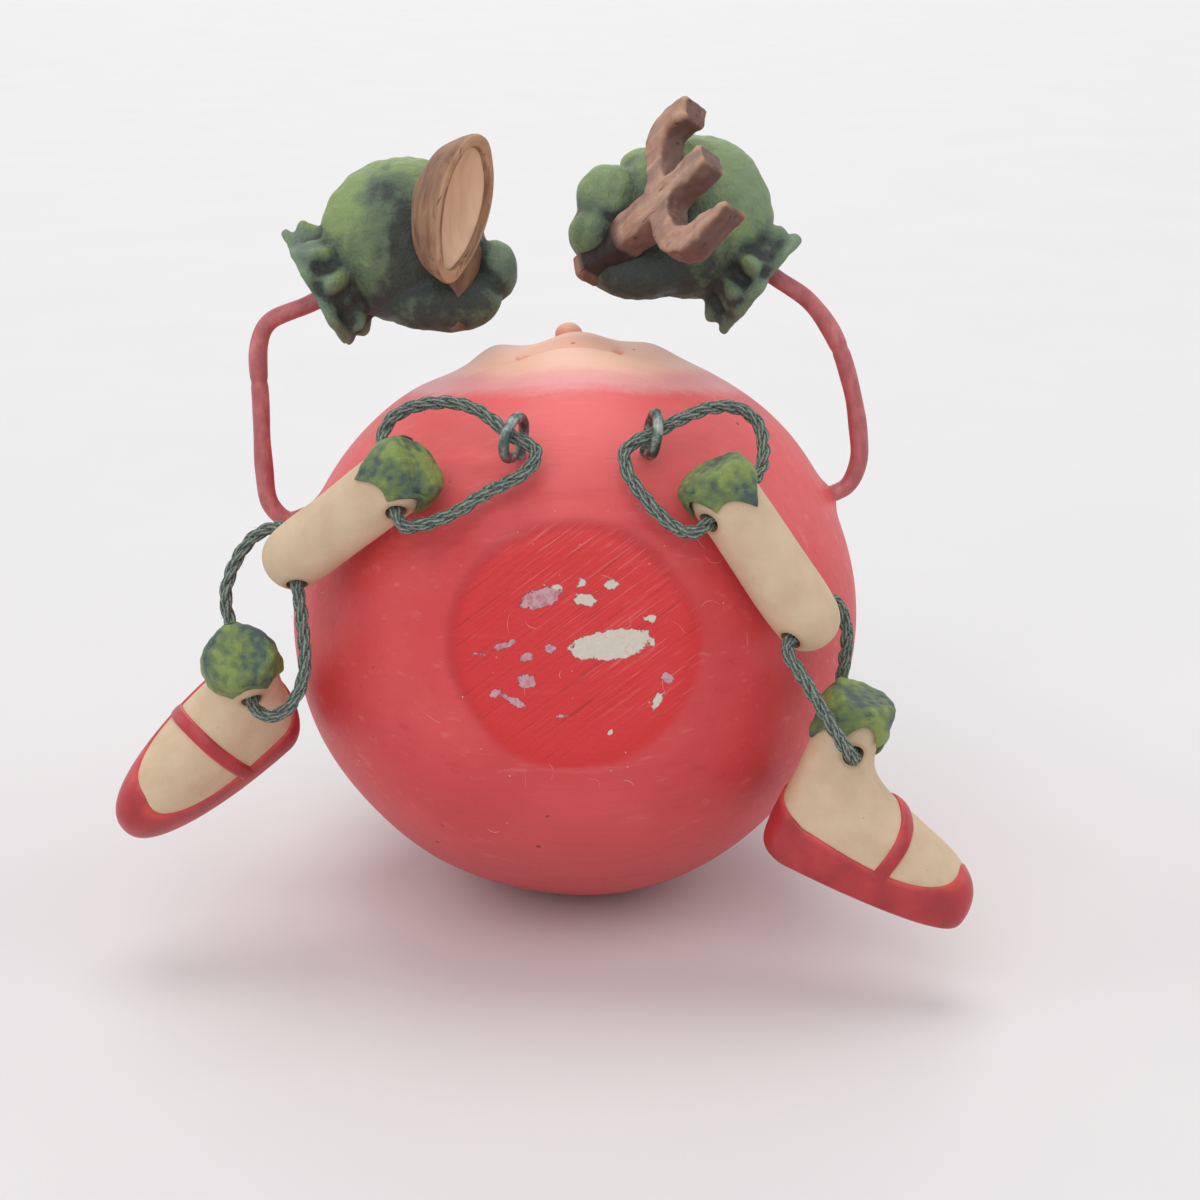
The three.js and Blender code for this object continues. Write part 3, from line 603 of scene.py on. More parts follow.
def mouth_frame(x, y):
    """Distance aside of the mouth and above its curved lip; works on arrays and on shader values."""
    aside = x - MOUTH_X
    return aside, y - LIP_Y - aside * aside * LIP_CURVE


def bell(x, y, centre, width, tall=None):
    """A smooth bump of height 1 round a centre, with its own width across and tall."""
    return np.exp(-((x - centre[0]) / width) ** 2 - ((y - centre[1]) / (tall or width)) ** 2)


def face_relief(x, y):
    """Height of the face above the ball in millimetres, from left-right x and up-down y."""
    aside, above_lip = mouth_frame(x, y)
    mouth_width = 1 / (1 + np.exp((np.abs(aside) - MOUTH_HALF) * 3))
    relief = -1.3 * bell(x, y, (-1.5, 0), 20, 15)
    relief += 1.8 * np.exp(-((above_lip / np.where(above_lip < 0, 5.5, 0.6)) ** 2) - (aside / 9) ** 2)
    relief -= 0.6 * np.exp(-(((above_lip - 1.0) / 0.6) ** 2)) * mouth_width
    relief += 1.6 * bell(x, y, (0.3, -4), 4.8, 6.5) - 0.6 * bell(x, y, (-18, -2), 3.5, 9)
    relief += 1.2 * bell(x, y, (-11.3, -2.5), 3.2, 8) + 0.8 * bell(x, y, (10.8, -2.5), 3.4, 8)
    for corner in (MOUTH_X - MOUTH_HALF, MOUTH_X + MOUTH_HALF):
        relief -= 0.7 * bell(x, y, (corner, CORNER_Y), 0.6, 2.2)
    return relief


print("face is", round(2 * MOUTH_HALF, 1), "mm wide at the mouth")

# %% Body shape
SKIN_INSET, SEAT_SOFT = 0.35, 0.16
ARM_PLANE = -3
ARMS = {
    "left": [[35.4, 16.9], [38.2, 18.4], [39.7, 21.8], [39.6, 26.2], [38.5, 32.4], [36.2, 39], [32.6, 44],
             [28, 47.2], [23.2, 50.6]],
    "right": [[-36.2, 14.6], [-40.2, 13.8], [-42.6, 16], [-43.4, 21], [-43.7, 30], [-43.8, 38.2],
              [-42.4, 41.2], [-36.6, 43.8], [-31.6, 46.5]],
}
COLLARS = [(DOLL.T @ np.array(foot, float), 0.4, 1.6) for foot, _ in EYES.values()]
COLLARS += [(np.array([route[0][0], ARM_PLANE, route[0][1]]), 0.9, 2.0) for route in ARMS.values()]


def skin(way):
    """Points of the body's skin, in the doll's frame, for unit directions from the middle of the ball.

    The ball's radius has low waves, the face's relief and a collar of paint round each wire. A smooth maximum
    with the seat's plane makes the flat and its soft edge.
    """
    x, y, z = (BODY_R * way[..., k] for k in range(3))
    waves = 0.16 * np.sin(0.11 * x + 0.07 * y + 1) + 0.14 * np.sin(0.09 * z - 0.13 * y)
    waves = waves + 0.1 * np.sin(0.2 * x - 0.16 * z)
    radius = BODY_R - SKIN_INSET + waves + np.where(z > 0, face_relief(x, y), 0)
    for wire, height, width in COLLARS:
        radius = radius + height * np.exp(-np.sum((BODY_R * (way - unit(wire))) ** 2, -1) / width**2)
    points = radius[..., None] * way
    apart = points[..., 1] + SEAT_DROP
    points[..., 1] = -SEAT_DROP + (apart + np.sqrt(apart**2 + SEAT_SOFT)) / 2
    return points


def ball_ways(rows=226, columns=392):
    """Unit directions in rings round the seat, packed closer at the face."""
    u = np.linspace(0.0015, 0.997, rows)[:, None]
    polar = np.pi * (u - 0.45 * np.sin(2 * np.pi * (u - 0.46)) / (2 * np.pi)) - 0.0175 * np.pi
    polar = np.clip(polar, 0.004, np.pi - 0.004)
    s = turn_round(columns)[None]
    turn = s - 0.6 * np.sin(s)
    out, up = np.sin(polar), -np.cos(polar)
    return np.stack([out * np.sin(turn), up + 0 * turn, out * np.cos(turn)], -1)


body_shells = [shell(in_doll(skin(ball_ways())))]
body_shells.append(shell(in_doll(egg([NOSE_X, NOSE_Y, BODY_R - 0.5], [1.95, 1.8, 1.75]))))
print("body:", sum(len(s[0]) for s in body_shells), "points")

# %% [markdown]
# ## Body paint
# The red was brushed on: paler and pinker near the face, deeper below. The face lies on top, so the paler
# red there is partly the paint and partly painted highlight from the light above, and the greyish pink
# towards the back is painted reflection of the pale table. The face is flesh coloured and fades through a
# mauve band into the red. The seat is worn: it has slanting scratches, and chips that show a cream or a
# lilac undercoat. All of it is measured in the doll's frame, so a pattern sits where the shape has its
# feature.

# %% Red
body_paint = Paint("body_paint")
spot = body_paint.place((-LEAN, 0, 0), tuple(-(DOLL.T @ CENTRE)))
x, y, z = body_paint.axes(spot)
cloud = body_paint.noise(spot, 0.05, 3)
brushed = body_paint.noise(body_paint.stretched(spot, (0.05, 0.6, 0.6)), 1.0, 5, 0.62)
grainy = body_paint.noise(spot, 1.4, 4, 0.6)
near_face = (z + (cloud - 0.5) * 14 + (brushed - 0.5) * 12).rise(6, 31)
# near_face is partly paint and partly painted highlight on the ball's top. The last coat, greyish pink
# towards the back, is painted reflection of the pale table under the ball.
red = body_paint.coats(
    (212, 66, 70), (cloud.rise(0.3, 0.7), (224, 82, 84)), (brushed.rise(0.45, 0.2) * 0.35, (174, 34, 43)),
    (near_face * 0.85, (240, 110, 108)), (brushed.rise(0.56, 0.8) * 0.3, (244, 160, 156)),
    ((z + (cloud - 0.5) * 10).rise(-12, -34) * 0.45, (190, 84, 88)))
print("red:", len(body_paint.nodes), "nodes")


# %% Face paint
def flat_length(u, v):
    """Distance from the origin of a plane with the coordinates u and v."""
    return (u * u + v * v).root()


ring_out = flat_length(x, y) + (cloud - 0.5) * 2.4 + (brushed - 0.5) * 2.4 + (grainy - 0.5) * 1.0
aside, above_lip = mouth_frame(x, y)
lip = (above_lip + 0.1).size().rise(0.6, 0.15) * aside.size().rise(MOUTH_HALF + 1, MOUTH_HALF - 0.5)
chin = (above_lip + 2.6).size().rise(2.6, 1.4)
muzzle = (above_lip - 5).size().rise(4.6, 3.2) * (x - 0.3).size().rise(7.4, 5.6)
corner = (aside.size() - MOUTH_HALF).size().rise(0.9, 0.2) * (y - CORNER_Y).size().rise(2.8, 1)
nose_line = (flat_length(x - NOSE_X, y - NOSE_Y) - 2.1).size().rise(0.7, 0.1)
speck = flat_length(x + 0.2, y + 9.6).rise(0.42, 0.25)
cheeks = [flat_length(x - middle, y + 4.5).rise(8, 1) for middle in (-13, 13)]
eye_dots = [flat_length((x - middle) / 1.5, (y - 9.6) / 2.2).rise(1.05, 0.95) for middle in (-8.4, 8.4)]
mauve = (ring_out + x.size().rise(9, 18) * 2.2).rise(18.6, 22.4)
# The paler coat towards the sides of the face is painted light, which lifts the shade under the hands.
flesh = body_paint.coats(
    (250, 196, 168), (cloud.rise(0.35, 0.7), (246, 184, 158)),
    *[(cheek * 0.4, (255, 186, 166)) for cheek in cheeks],
    (x.size().rise(6, 14) * 0.6, (255, 202, 180)), (chin * 0.5, (252, 206, 184)),
    (muzzle * 0.6, (238, 168, 130)),
    (lip * 0.8, (214, 134, 104)), (corner * 0.8, (230, 112, 92)), (nose_line * 0.7, (244, 140, 124)),
    (speck * 0.8, (186, 72, 60)), *[(dot, (26, 20, 20)) for dot in eye_dots], (mauve * 0.85, (238, 156, 162)))
face = ring_out.rise(24.6, 22.0) * z.rise(4, 12)
print("red and face:", len(body_paint.nodes), "nodes")

# %% Worn seat
seat_out = flat_length(x, z) + (cloud - 0.5) * 2.5 + (grainy - 0.5) * 0.5
at_seat = y.rise(-20, -30)
seat = seat_out.rise(16.4, 14.8) * at_seat
seat_edge = (seat_out - SEAT_R).size().rise(1.6, 0.1) * at_seat * (z - x * 0.6).rise(-14, 10)
slant = body_paint.stretched(spot, (1, 1, 1), (0, np.radians(36), 0))
scratch = body_paint.noise(body_paint.stretched(slant, (0.07, 0.2, 2.2)), 1.0, 4, 0.7)
fine_scratch = body_paint.noise(body_paint.stretched(slant, (0.1, 0.2, 5.5)), 1.0, 2, 0.6)
scuffed = (x * 0.6 + z * 0.5 + cloud * 22).rise(4, 14)
pale_scratch = (scratch.rise(0.6, 0.68) * 0.8).most(fine_scratch.rise(0.64, 0.7)) * seat * scuffed
dark_scratch = scratch.rise(0.42, 0.3) * seat
ragged = body_paint.noise(spot, 0.8, 5, 0.65)
CREAM_CHIPS = [
    (4.6, 0.3, 5.1, 1.9, 8), (1.1, 6.0, 1.5, 0.75, -10), (0.9, 8.3, 0.8, 0.55, 30), (4.5, 8.0, 0.8, 0.5, 0),
    (9.4, 3.6, 0.6, 0.4, 0), (10.2, -7.2, 0.5, 1.4, -35), (-2.4, 7.6, 0.7, 0.4, -20), (4.4, -11, 0.4, 0.4, 0)]
LILAC_CHIPS = [
    (-4.4, 6.2, 3.1, 1.1, 20), (-6.2, -4.4, 1.1, 1.0, 0), (-8.0, -6.8, 1.6, 0.35, -28),
    (11.6, -4.0, 0.7, 0.6, 0), (-10.4, -5.9, 0.9, 0.5, 25), (-8.6, 0.4, 1.5, 0.4, 18),
    (-6.2, -1.2, 1.1, 0.5, 20), (-3.2, -0.2, 0.6, 0.5, 0), (-12.8, -0.8, 0.9, 0.25, 0),
    (-1.6, -8.8, 0.8, 0.2, 0)]


def chips(places):
    """1 where the top coat is gone: ragged ellipses on the seat, each a centre, two radii and a turn."""
    found = None
    for cx, cz, wide, tall, degrees in places:
        c, s = np.cos(np.radians(degrees)), np.sin(np.radians(degrees))
        u, v = ((x - cx) * c + (z - cz) * s) / wide, ((z - cz) * c - (x - cx) * s) / tall
        inside = (flat_length(u, v) - 1) * min(wide, tall) + (ragged - 0.5) * 1.7
        found = inside if found is None else found.least(inside)
    return found.rise(0.06, -0.06) * at_seat


cream_chip, lilac_chip = chips(CREAM_CHIPS), chips(LILAC_CHIPS)
print("seat has", len(CREAM_CHIPS) + len(LILAC_CHIPS), "chips")

# %% Body
pits = body_paint.cells(spot, 0.22).rise(0.075, 0.04) * body_paint.noise(spot, 0.11, 1).rise(0.52, 0.56)
lilac = body_paint.coats((184, 132, 146), (grainy.rise(0.35, 0.6), (206, 176, 184)))
cream = body_paint.coats((226, 218, 204), (grainy, (210, 200, 186)))
tint = body_paint.coats(
    red, (face, flesh), (seat * 0.8, (219, 38, 42)), (dark_scratch * 0.6, (152, 18, 25)),
    (seat_edge * 0.4, (170, 32, 40)), (pale_scratch * 0.5, (240, 140, 140)), (lilac_chip * 0.85, lilac),
    (cream_chip, cream), (pits * 0.8, (110, 16, 24)))
worn = cream_chip.most(lilac_chip)
gloss = 0.46 + (grainy - 0.5) * 0.18 + worn * 0.3 - seat * 0.06
relief = (grainy - 0.5) * 0.04 + (brushed - 0.5) * 0.08 + (scratch - 0.5) * seat * 0.16
relief = relief - worn * 0.14 - pits * 0.14
body_red = body_paint.finish(tint, gloss, relief, Specular_IOR_Level=0.42)
piece("tomato_skin", body_shells, "torso", body_red, "body_red", ["tomato_body"], sharp=60)

# %% [markdown]
# ## Lint
# Handling leaves lint on matt paint: short pale hairs and specks, most of them round the seat. Each hair
# is a thin tube whose line bends in the plane of the skin, and a speck is a very short and thick one.

# %% Lint
lint_pale = mottled("lint_paint", 0.3, (0.4, 0.6), (226, 124, 122), (234, 184, 178), 0.8)


def hairs(seed, count, length, width, spread_out):
    """Bent hairs on the skin: length and width are ranges in mm, spread_out is how far they scatter."""
    rng = np.random.default_rng(seed)
    middle = unit(np.array([0.05, -1, 0.12]) + rng.normal(0, spread_out, (count, 3)))
    first = unit(np.cross(middle, rng.normal(size=(count, 3))))
    second = np.cross(middle, first)
    t = np.linspace(-0.5, 0.5, 9)[:, None]
    long, bend = rng.uniform(*length, count), rng.normal(0, 0.9, count)
    along, aside = t * long, (t**2 + 0.5 * t**3 * rng.normal(size=count)) * bend * long
    way = unit(middle + (along[..., None] * first + aside[..., None] * second) / BODY_R)
    line = skin(way)
    thick = (rng.uniform(*width, count) * np.sqrt(np.clip(1.05 - (2 * t) ** 2, 0.05, 1)))[..., None]
    side = unit(np.cross(way, np.gradient(line, axis=0)))
    a = turn_round(4)[:, None, None, None]
    grid = line + thick * (np.cos(a) * side + np.sin(a) * way)
    return [shell(in_doll(grid[:, :, k].transpose(1, 0, 2))) for k in range(count)]


long_hairs = hairs(4, 24, (1.0, 3.4), (0.02, 0.035), 0.36)
specks = hairs(9, 40, (0.12, 0.3), (0.05, 0.11), 0.34)
piece("lint", long_hairs + specks, "torso", lint_pale, "body_red")

# %% [markdown]
# ## Green paint
# Hands, cuffs, crown and leg leaves share one paint job: a light yellow-green, then a thin grey-green
# dabbed on with a coarse brush. The mark "hollow" tells the paint how deep a point lies, in millimetres,
# so the dark coat is heavier in hollows and creases; on the hands and the sepals it also carries painted
# shade on their undersides and painted light above. Pale flecks on the ridges are partly dry-brushed paint
# and partly painted highlight. The mark "cool" adds a bluer green.


# %% Green paint
def leaf_paint(name, light, middle, dark, scale, depth):
    """Light green under a dark coat that gathers in hollows; scale is dabs in 1 mm, depth their weight."""
    paint = Paint(name)
    spot = paint.place()
    hollow, cool = paint.mark("hollow"), paint.mark("cool")
    dabs = paint.noise(spot, scale, 4, 0.6, 0.6)
    fine = paint.noise(spot, 1.5, 5, 0.65, 0.3)
    coat = hollow + (dabs - 0.5) * depth + (fine - 0.5) * 0.6
    # Pale flecks where the coat is thin, on ridges: partly dry-brushed paint, partly painted highlight.
    dry_brush_and_highlight = fine.rise(0.54, 0.7) * coat.rise(0.35, -0.35)
    tint = paint.coats(light, (coat.rise(-0.45, 0.1), middle), (cool * 0.7, (108, 130, 112)),
                       (coat.rise(0.05, 0.6), dark), (dry_brush_and_highlight * 0.5, (160, 178, 104)))
    height = (fine - 0.5) * 0.4 + (dabs - 0.5) * 0.2
    return paint.finish(tint, 0.5 + (fine - 0.5) * 0.3, height, Specular_IOR_Level=0.45)


hand_green = leaf_paint("hand_green", (138, 162, 100), (98, 118, 90), (54, 62, 56), 0.16, 0.9)
limb_green = leaf_paint("limb_green", (134, 154, 80), (104, 126, 80), (66, 88, 84), 0.32, 1.8)
crown_green = leaf_paint("crown_green", (118, 148, 70), (88, 116, 66), (50, 68, 58), 0.2, 1.2)
print("greens ready")

# %% [markdown]
# ## Crown
# The head's top is hidden in the photograph. A round fruit has a star of sepals and a stalk there, so the
# doll gets one, with thick tips that flare out and meet the table. A sepal is an oval section carried
# along a curved spine; it is widest before its middle and has a groove for the midrib.

# %% Crown
SEPALS, SEPAL_HALF_WIDTH, SEPAL_THICK = 7, 8.2, 5.2
SEPAL_ROWS, STALK_ROWS = 48, 24
TIP_HEIGHT = BODY_R - 8.2
TIP_REACH = (BODY_R + TIP_HEIGHT * np.sin(LEAN)) / (np.cos(LEAN) * np.cos(np.pi / SEPALS)) - 0.9
ASIDE = np.array([0, 0, 1.0])
spine = smooth_path([[5, BODY_R + 1, 0], [17, BODY_R - 1.6, 0], [27, BODY_R - 7.4, 0],
                     [TIP_REACH - 4.4, TIP_HEIGHT - 0.8, 0], [TIP_REACH, TIP_HEIGHT, 0]], SEPAL_ROWS)
t = np.linspace(0, 1, SEPAL_ROWS)[:, None]
wide = SEPAL_HALF_WIDTH * np.sqrt(np.maximum(0.015, 1 - ((t - 0.42) / 0.6) ** 2))
thick = SEPAL_THICK / 2 - 0.9 * t
a = turn_round(40)[None]
rib = np.exp(-(np.cos(a) / 0.16) ** 2) * (np.sin(a) > 0)
ripple = 0.35 * np.sin(9 * t + 2 * a) * np.cos(a) ** 2
lift = thick * np.sin(a) - 0.12 * wide * np.cos(a) ** 2 - 0.5 * rib + ripple
up = unit(np.cross(ASIDE, np.gradient(spine, axis=0)))
sepal = spine[:, None] + lift[..., None] * up[:, None] + (-wide * np.cos(a))[..., None] * ASIDE
crown_shells = []
for turn in 2 * np.pi * np.arange(SEPALS) / SEPALS - np.pi / 2:
    spin = np.array([[np.cos(turn), 0, np.sin(turn)], [0, 1, 0], [-np.sin(turn), 0, np.cos(turn)]])
    # The rib term darkens the midrib's groove; the sine term is painted shade on the sepal's side against the
    # ball and painted light on its outer side.
    crown_shells.append(shell(in_doll(sepal @ spin.T), hollow=0.5 * rib - 0.12 * np.sin(a), cool=0.0))
cap = egg([0, 0, 0], [14, 14, 5.4])[..., [0, 2, 1]] + [0, BODY_R - 1, 0]
crown_shells.append(shell(in_doll(cap), hollow=0.0, cool=0.0))
stalk_line = smooth_path([[0, BODY_R - 0.5, 0], [0.3, BODY_R + 4.5, 0.5], [1.4, BODY_R + 9, 1.8]], STALK_ROWS)
flutes = np.cos(6 * turn_round(24))
thinning = ring(np.linspace(3.7, 3.3, STALK_ROWS), 24)
stalk = sweep(stalk_line, (1, 0, 0), thinning * (1 + 0.06 * flutes)[None, :, None])
crown_shells.append(shell(in_doll(stalk), hollow=-0.2 * flutes, cool=0.0))
piece("leaf_crown_star", crown_shells, "torso", crown_green, "leaf_green", ["leaf_crown"])

# %% [markdown]
# ## Hands
# A hand is a lumpy mitten: a round palm with finger lumps that curl round a handle, and a leafy cuff.
# Separate shells would show hard seams, so a voxel remesh fuses them, averaging melts the seams, and
# lumps make it look cast. The dark coat is heavier in the creases. Round the tools and on the underside it
# is painted shade, and the upper side is kept light as painted light.


# %% Fused castings
def modified(mesh, kind, **settings):
    """The mesh after one modifier; the helper object goes away again."""
    helper = put_in_scene("work", mesh)
    modifier = helper.modifiers.new("work", kind)
    for key, value in settings.items():
        setattr(modifier, key, value)
    result = bpy.data.meshes.new_from_object(helper.evaluated_get(bpy.context.evaluated_depsgraph_get()))
    bpy.data.objects.remove(helper)
    return result


def array_of(mesh, what="vertices", field="co", width=3, kind=np.float32):
    """One field of a mesh's vertices or edges as an array."""
    values = np.empty(len(getattr(mesh, what)) * width, kind)
    getattr(mesh, what).foreach_get(field, values)
    return values.reshape(-1, width)


def spread(mesh, values, rounds):
    """Averages values over neighbouring vertices, several times over."""
    edges = array_of(mesh, "edges", "vertices", 2, np.int32)
    ends, others = edges.T.ravel(), edges[:, ::-1].T.ravel()
    count = np.maximum(np.bincount(ends, minlength=len(values)), 1)[:, None]
    for _ in range(rounds):
        sums = [np.bincount(ends, values[others, k], len(values)) for k in range(values.shape[1])]
        values = np.stack(sums, 1) / count
    return values


def hollows(mesh, rounds):
    """How deep each vertex lies in a groove, in millimetres: negative on ridges."""
    points, normals = array_of(mesh) / MM, array_of(mesh, "vertices", "normal")
    return np.einsum("ij,ij->i", spread(mesh, points, rounds) - points, normals)


def lumps(points, per_mm, seed):
    """Irregular waves, mostly within 1.5 of 0: 16 sines in random directions, about per_mm bumps in 1 mm."""
    rng = np.random.default_rng(seed)
    waves = unit(rng.normal(size=(16, 3))) * rng.uniform(0.6, 1.5, (16, 1)) * 2 * np.pi * per_mm
    return np.sin(points @ waves.T + rng.uniform(0, 2 * np.pi, 16)).sum(-1) / np.sqrt(8)


def fused(shells, voxel, rounds, waves):
    """Shells joined by a voxel remesh, melted by averaging, roughened by waves (height, bumps in 1 mm)."""
    mesh = modified(mesh_of(shells), "REMESH", mode="VOXEL", voxel_size=voxel * MM)
    points = spread(mesh, array_of(mesh) / MM, rounds)
    rough = sum(height * lumps(points, per_mm, 3) for height, per_mm in waves)
    points = points + rough[:, None] * array_of(mesh, "vertices", "normal")
    mesh.vertices.foreach_set("co", (points * MM).astype(np.float32).ravel())
    mesh.update()
    return mesh


def turned_rows(rows, angles, count):
    """Rows of (radius, height), each a number or one for each angle, turned round Z and made smooth."""
    radius, height = (np.stack([value + 0 * angles for value in column]) for column in zip(*rows))
    return smooth_rows(np.stack([radius * np.cos(angles), radius * np.sin(angles), height], -1), count)


# %% Hands
HANDS = {
    "left": [([16.2, -3, 55.6], [11.3, 8.6, 11.3]), ([5, -5.6, 57.8], [4.7, 4.8, 4.8]),
             ([9.4, -2, 61.4], [3.3, 4, 3.8]), ([3, -6, 53.2], [3.7, 5.2, 4.1]),
             ([9.5, -4.4, 49.4], [8.6, 6.2, 5.2]), ([8.6, -6.8, 48.2], [6.6, 4.4, 4])],
    "right": [([-23.7, -3, 52.5], [11.4, 8.6, 11.4]), ([-10.9, -2.6, 48.2], [3.2, 3.8, 4.3]),
              ([-16.2, 0.6, 53.6], [3.6, 3.8, 4]), ([-20, -4, 45.4], [7.4, 6, 4.4]),
              ([-18.4, -5.4, 44.2], [8.6, 5.2, 4.4])],
}
CUFFS = {"left": ([26.4, -3, 46.2], [-0.78, 0, 0.62], 7.6), "right": ([-36, -3, 45.4], [0.87, 0, 0.5], 8.3)}
# Patches of painted shade (weight above 0) beside the tools and on the lower side, and of painted light
# (weight below 0) on the upper side: centre, reach, weight and how much bluer green.
SHADE_AND_LIGHT_DABS = {
    "left": [([4.4, -8, 58.4], [4, 5, 4], -0.3, 0.9), ([8.3, -9, 53.1], [5, 5, 4], 0.8, 0),
             ([13.9, -10, 55.9], [4, 4, 4], 0.4, 0), ([10.4, -9, 46.6], [9, 6, 3.4], 0.5, 0),
             ([21.7, -9, 54.1], [2.5, 4, 2], -0.3, -0.5), ([7, -13, 48.2], [5, 4, 3.4], 0.3, 0.3),
             ([5.6, -13, 52.6], [3, 4, 3.4], 0.7, 0), ([24, -8, 59], [7, 8, 8], -0.25, 0.8)],
    "right": [([-31, -8, 56], [4, 5, 6], -0.3, 0), ([-25.9, -11, 59.4], [2.8, 4, 2.4], 0.8, 0.4),
              ([-22.6, -11, 53], [2.6, 4, 5.4], 0.85, 0), ([-16.4, -9, 46.8], [5, 5, 2.4], 0.7, 0),
              ([-10.9, -6, 48.2], [3.6, 5, 4.6], 0.15, 1), ([-18.4, -9, 43.6], [9, 5, 4.4], 0.4, 0)],
}


def frilled_cuff(side):
    """A leafy collar round the wrist: a thin angular plate at the back and crinkled lobes in front of it."""
    centre, axis, size = CUFFS[side]
    a = turn_round(168)
    frill = 0.55 * np.cos(5 * a + 0.6) + 0.4 * np.cos(9 * a) + 0.5 * np.cos(2 * a + 1)
    ridge = 0.8 * np.cos(7 * a + 0.5) + 0.5 * np.cos(11 * a + 1) + 0.3 * np.cos(4 * a)
    rows = [(size * 0.25, 0.3), (size * 0.8 + 0.5 * frill, 0.2), (size + frill, 0), (size + frill + 0.1, 0.5),
            (size + frill, 1.1), (size * 0.93 + 0.6 * frill, 1.6), (size * 0.9 + ridge, 2.3),
            (size * 0.88 + 1.4 * ridge, 3.3), (size * 0.78 + 1.1 * ridge, 4.6),
            (size * 0.66 + 0.4 * ridge, 5.8), (size * 0.5, 8.2)]
    axis = unit(axis)
    first = unit(np.cross(axis, [0, 1, 0]))
    return shell(in_doll(turned_rows(rows, a, 48) @ np.stack([first, np.cross(axis, first), axis]) + centre))


def cast_hand(side):
    """Palm, fingers and cuff as one casting; the mark hollow adds creases, painted underside shade and dabs.
    """
    eggs = [shell(in_doll(egg(*lump))) for lump in HANDS[side]]
    mesh = fused(eggs + [frilled_cuff(side)], 0.3, 4, [(0.1, 0.1), (0.05, 0.4)])
    p = (array_of(mesh) / MM - CENTRE) @ DOLL
    (palm, radii), (wrist, axis, _) = HANDS[side][0], CUFFS[side]
    cool = 1.2 * np.clip(1 - ((p - wrist) @ unit(axis) - 2) / 3, 0, 1)
    crease = spread(mesh, hollows(mesh, 26)[:, None], 2)[:, 0]
    # Darker in the creases, plus painted shade that grows towards the palm's underside.
    dark = 1.7 * crease + 0.34 * (palm[2] - p[:, 2]) / radii[2] + 0.1
    for centre, reach, weight, coolness in SHADE_AND_LIGHT_DABS[side]:
        near = np.exp(-np.sum(((p - centre) / reach) ** 2, -1))
        dark += weight * near
        cool += coolness * near
    add_marks(mesh, hollow=np.clip(dark, -0.8, 0.9), cool=np.clip(cool, 0, 1))
    dress(f"{side}_mitten", mesh, "torso", hand_green, "leaf_green", [f"{side}_hand"], sharp=80)


for side in HANDS:
    cast_hand(side)

# %% [markdown]
# ## Salad fork and spoon
# Both are cast to look like carved wood: flat faces, pale edges that are partly worn paint and partly
# painted highlight, brown paint with dark grain lines along the length, and a paler bowl. The fork is three
# bars with rounded corners, one for the handle and the middle tine and one for each outer tine, fused into
# one plate. The spoon is a stack of oval rings with a bar for its handle.


# %% Wood paint
GRAIN_SQUEEZE = 0.12


def carved_paint(name, place, light, dark, grey):
    """Brown with grain along a tool's X: the pattern is squeezed by GRAIN_SQUEEZE that way."""
    paint = Paint(name)
    spot = paint.place()
    lengthwise = place[0][:, 0]
    product = {0: spot, 1: tuple(lengthwise)}
    along = paint.node("ShaderNodeVectorMath", {"operation": "DOT_PRODUCT"}, product, "Value")
    grain_place = paint.node("ShaderNodeVectorMath", {"operation": "MULTIPLY_ADD"}, {
        0: paint.node("ShaderNodeCombineXYZ", None, {0: along, 1: along, 2: along}),
        1: tuple((GRAIN_SQUEEZE - 1) * lengthwise), 2: spot})
    grain = paint.noise(grain_place, 0.6, 4, 0.6, 0.4)
    crack = paint.noise(grain_place, 1.3, 2, 0.6, 0.6).rise(0.66, 0.72)
    patch = paint.noise(spot, 0.25, 4, 0.6)
    edge, shade = paint.mark("edge"), paint.mark("shade")
    tint = paint.coats(
        dark, (grain.rise(0.3, 0.7), light), (patch.rise(0.45, 0.7) * grey, (116, 98, 94)),
        (patch.rise(0.45, 0.28) * 0.5, (156, 100, 72)), (shade.least(1.0) * 0.8, (84, 54, 50)),
        (shade.rise(1.0, 1.6), (46, 36, 36)),
        # Pale edges: partly worn paint, partly painted highlight.
        (edge.rise(0.3, 1.0) * patch.rise(0.2, 0.5) * 0.75, (202, 160, 124)),
        (crack * 0.7, (60, 42, 40)))
    height = (grain - 0.5) * 0.16 - crack * 0.12 + (patch - 0.5) * 0.25
    return paint.finish(tint, 0.55 + (grain - 0.5) * 0.2, height, Specular_IOR_Level=0.4)


def held(place):
    """A tool's place, from the doll's frame to the table's."""
    return DOLL @ place[0], in_doll(place[1])


fork_place = held(frame_at([11, -13.4, 56.2], [0.663, -0.464, 0.583], [-0.729, -0.555, 0.387]))
fork_brown = carved_paint("fork_brown", fork_place, (198, 158, 136), (154, 116, 100), 0.5)
spoon_place = held(frame_at([-14.7, -13.6, 56.1], [0.23, 0.08, 0.97], [0.8, -0.59, -0.1]))
spoon_brown = carved_paint("spoon_brown", spoon_place, (170, 132, 98), (120, 84, 64), 0.3)
print("browns ready")

# %% Fork
FORK_HALF_THICK = 2.15
FORK_BARS = [
    ([[-14.6, 0.2], [-6, -0.3], [0, -0.8], [5, -0.4], [10.8, -0.3]], [1.9, 2.5, 2.7, 1.9, 1.85]),
    ([[10.2, 9.6], [7.4, 10.5], [4.8, 10], [3.4, 7.8], [2.6, 4.6], [1.8, 0]], [1.7, 1.8, 2.0, 1.7, 1.5, 2.6]),
    ([[12.2, -11.4], [8, -11], [4.6, -10.9], [2.2, -8.9], [1.4, -5.6], [1.8, 0]],
     [0.4, 1.3, 1.9, 1.9, 1.8, 2.6]),
]


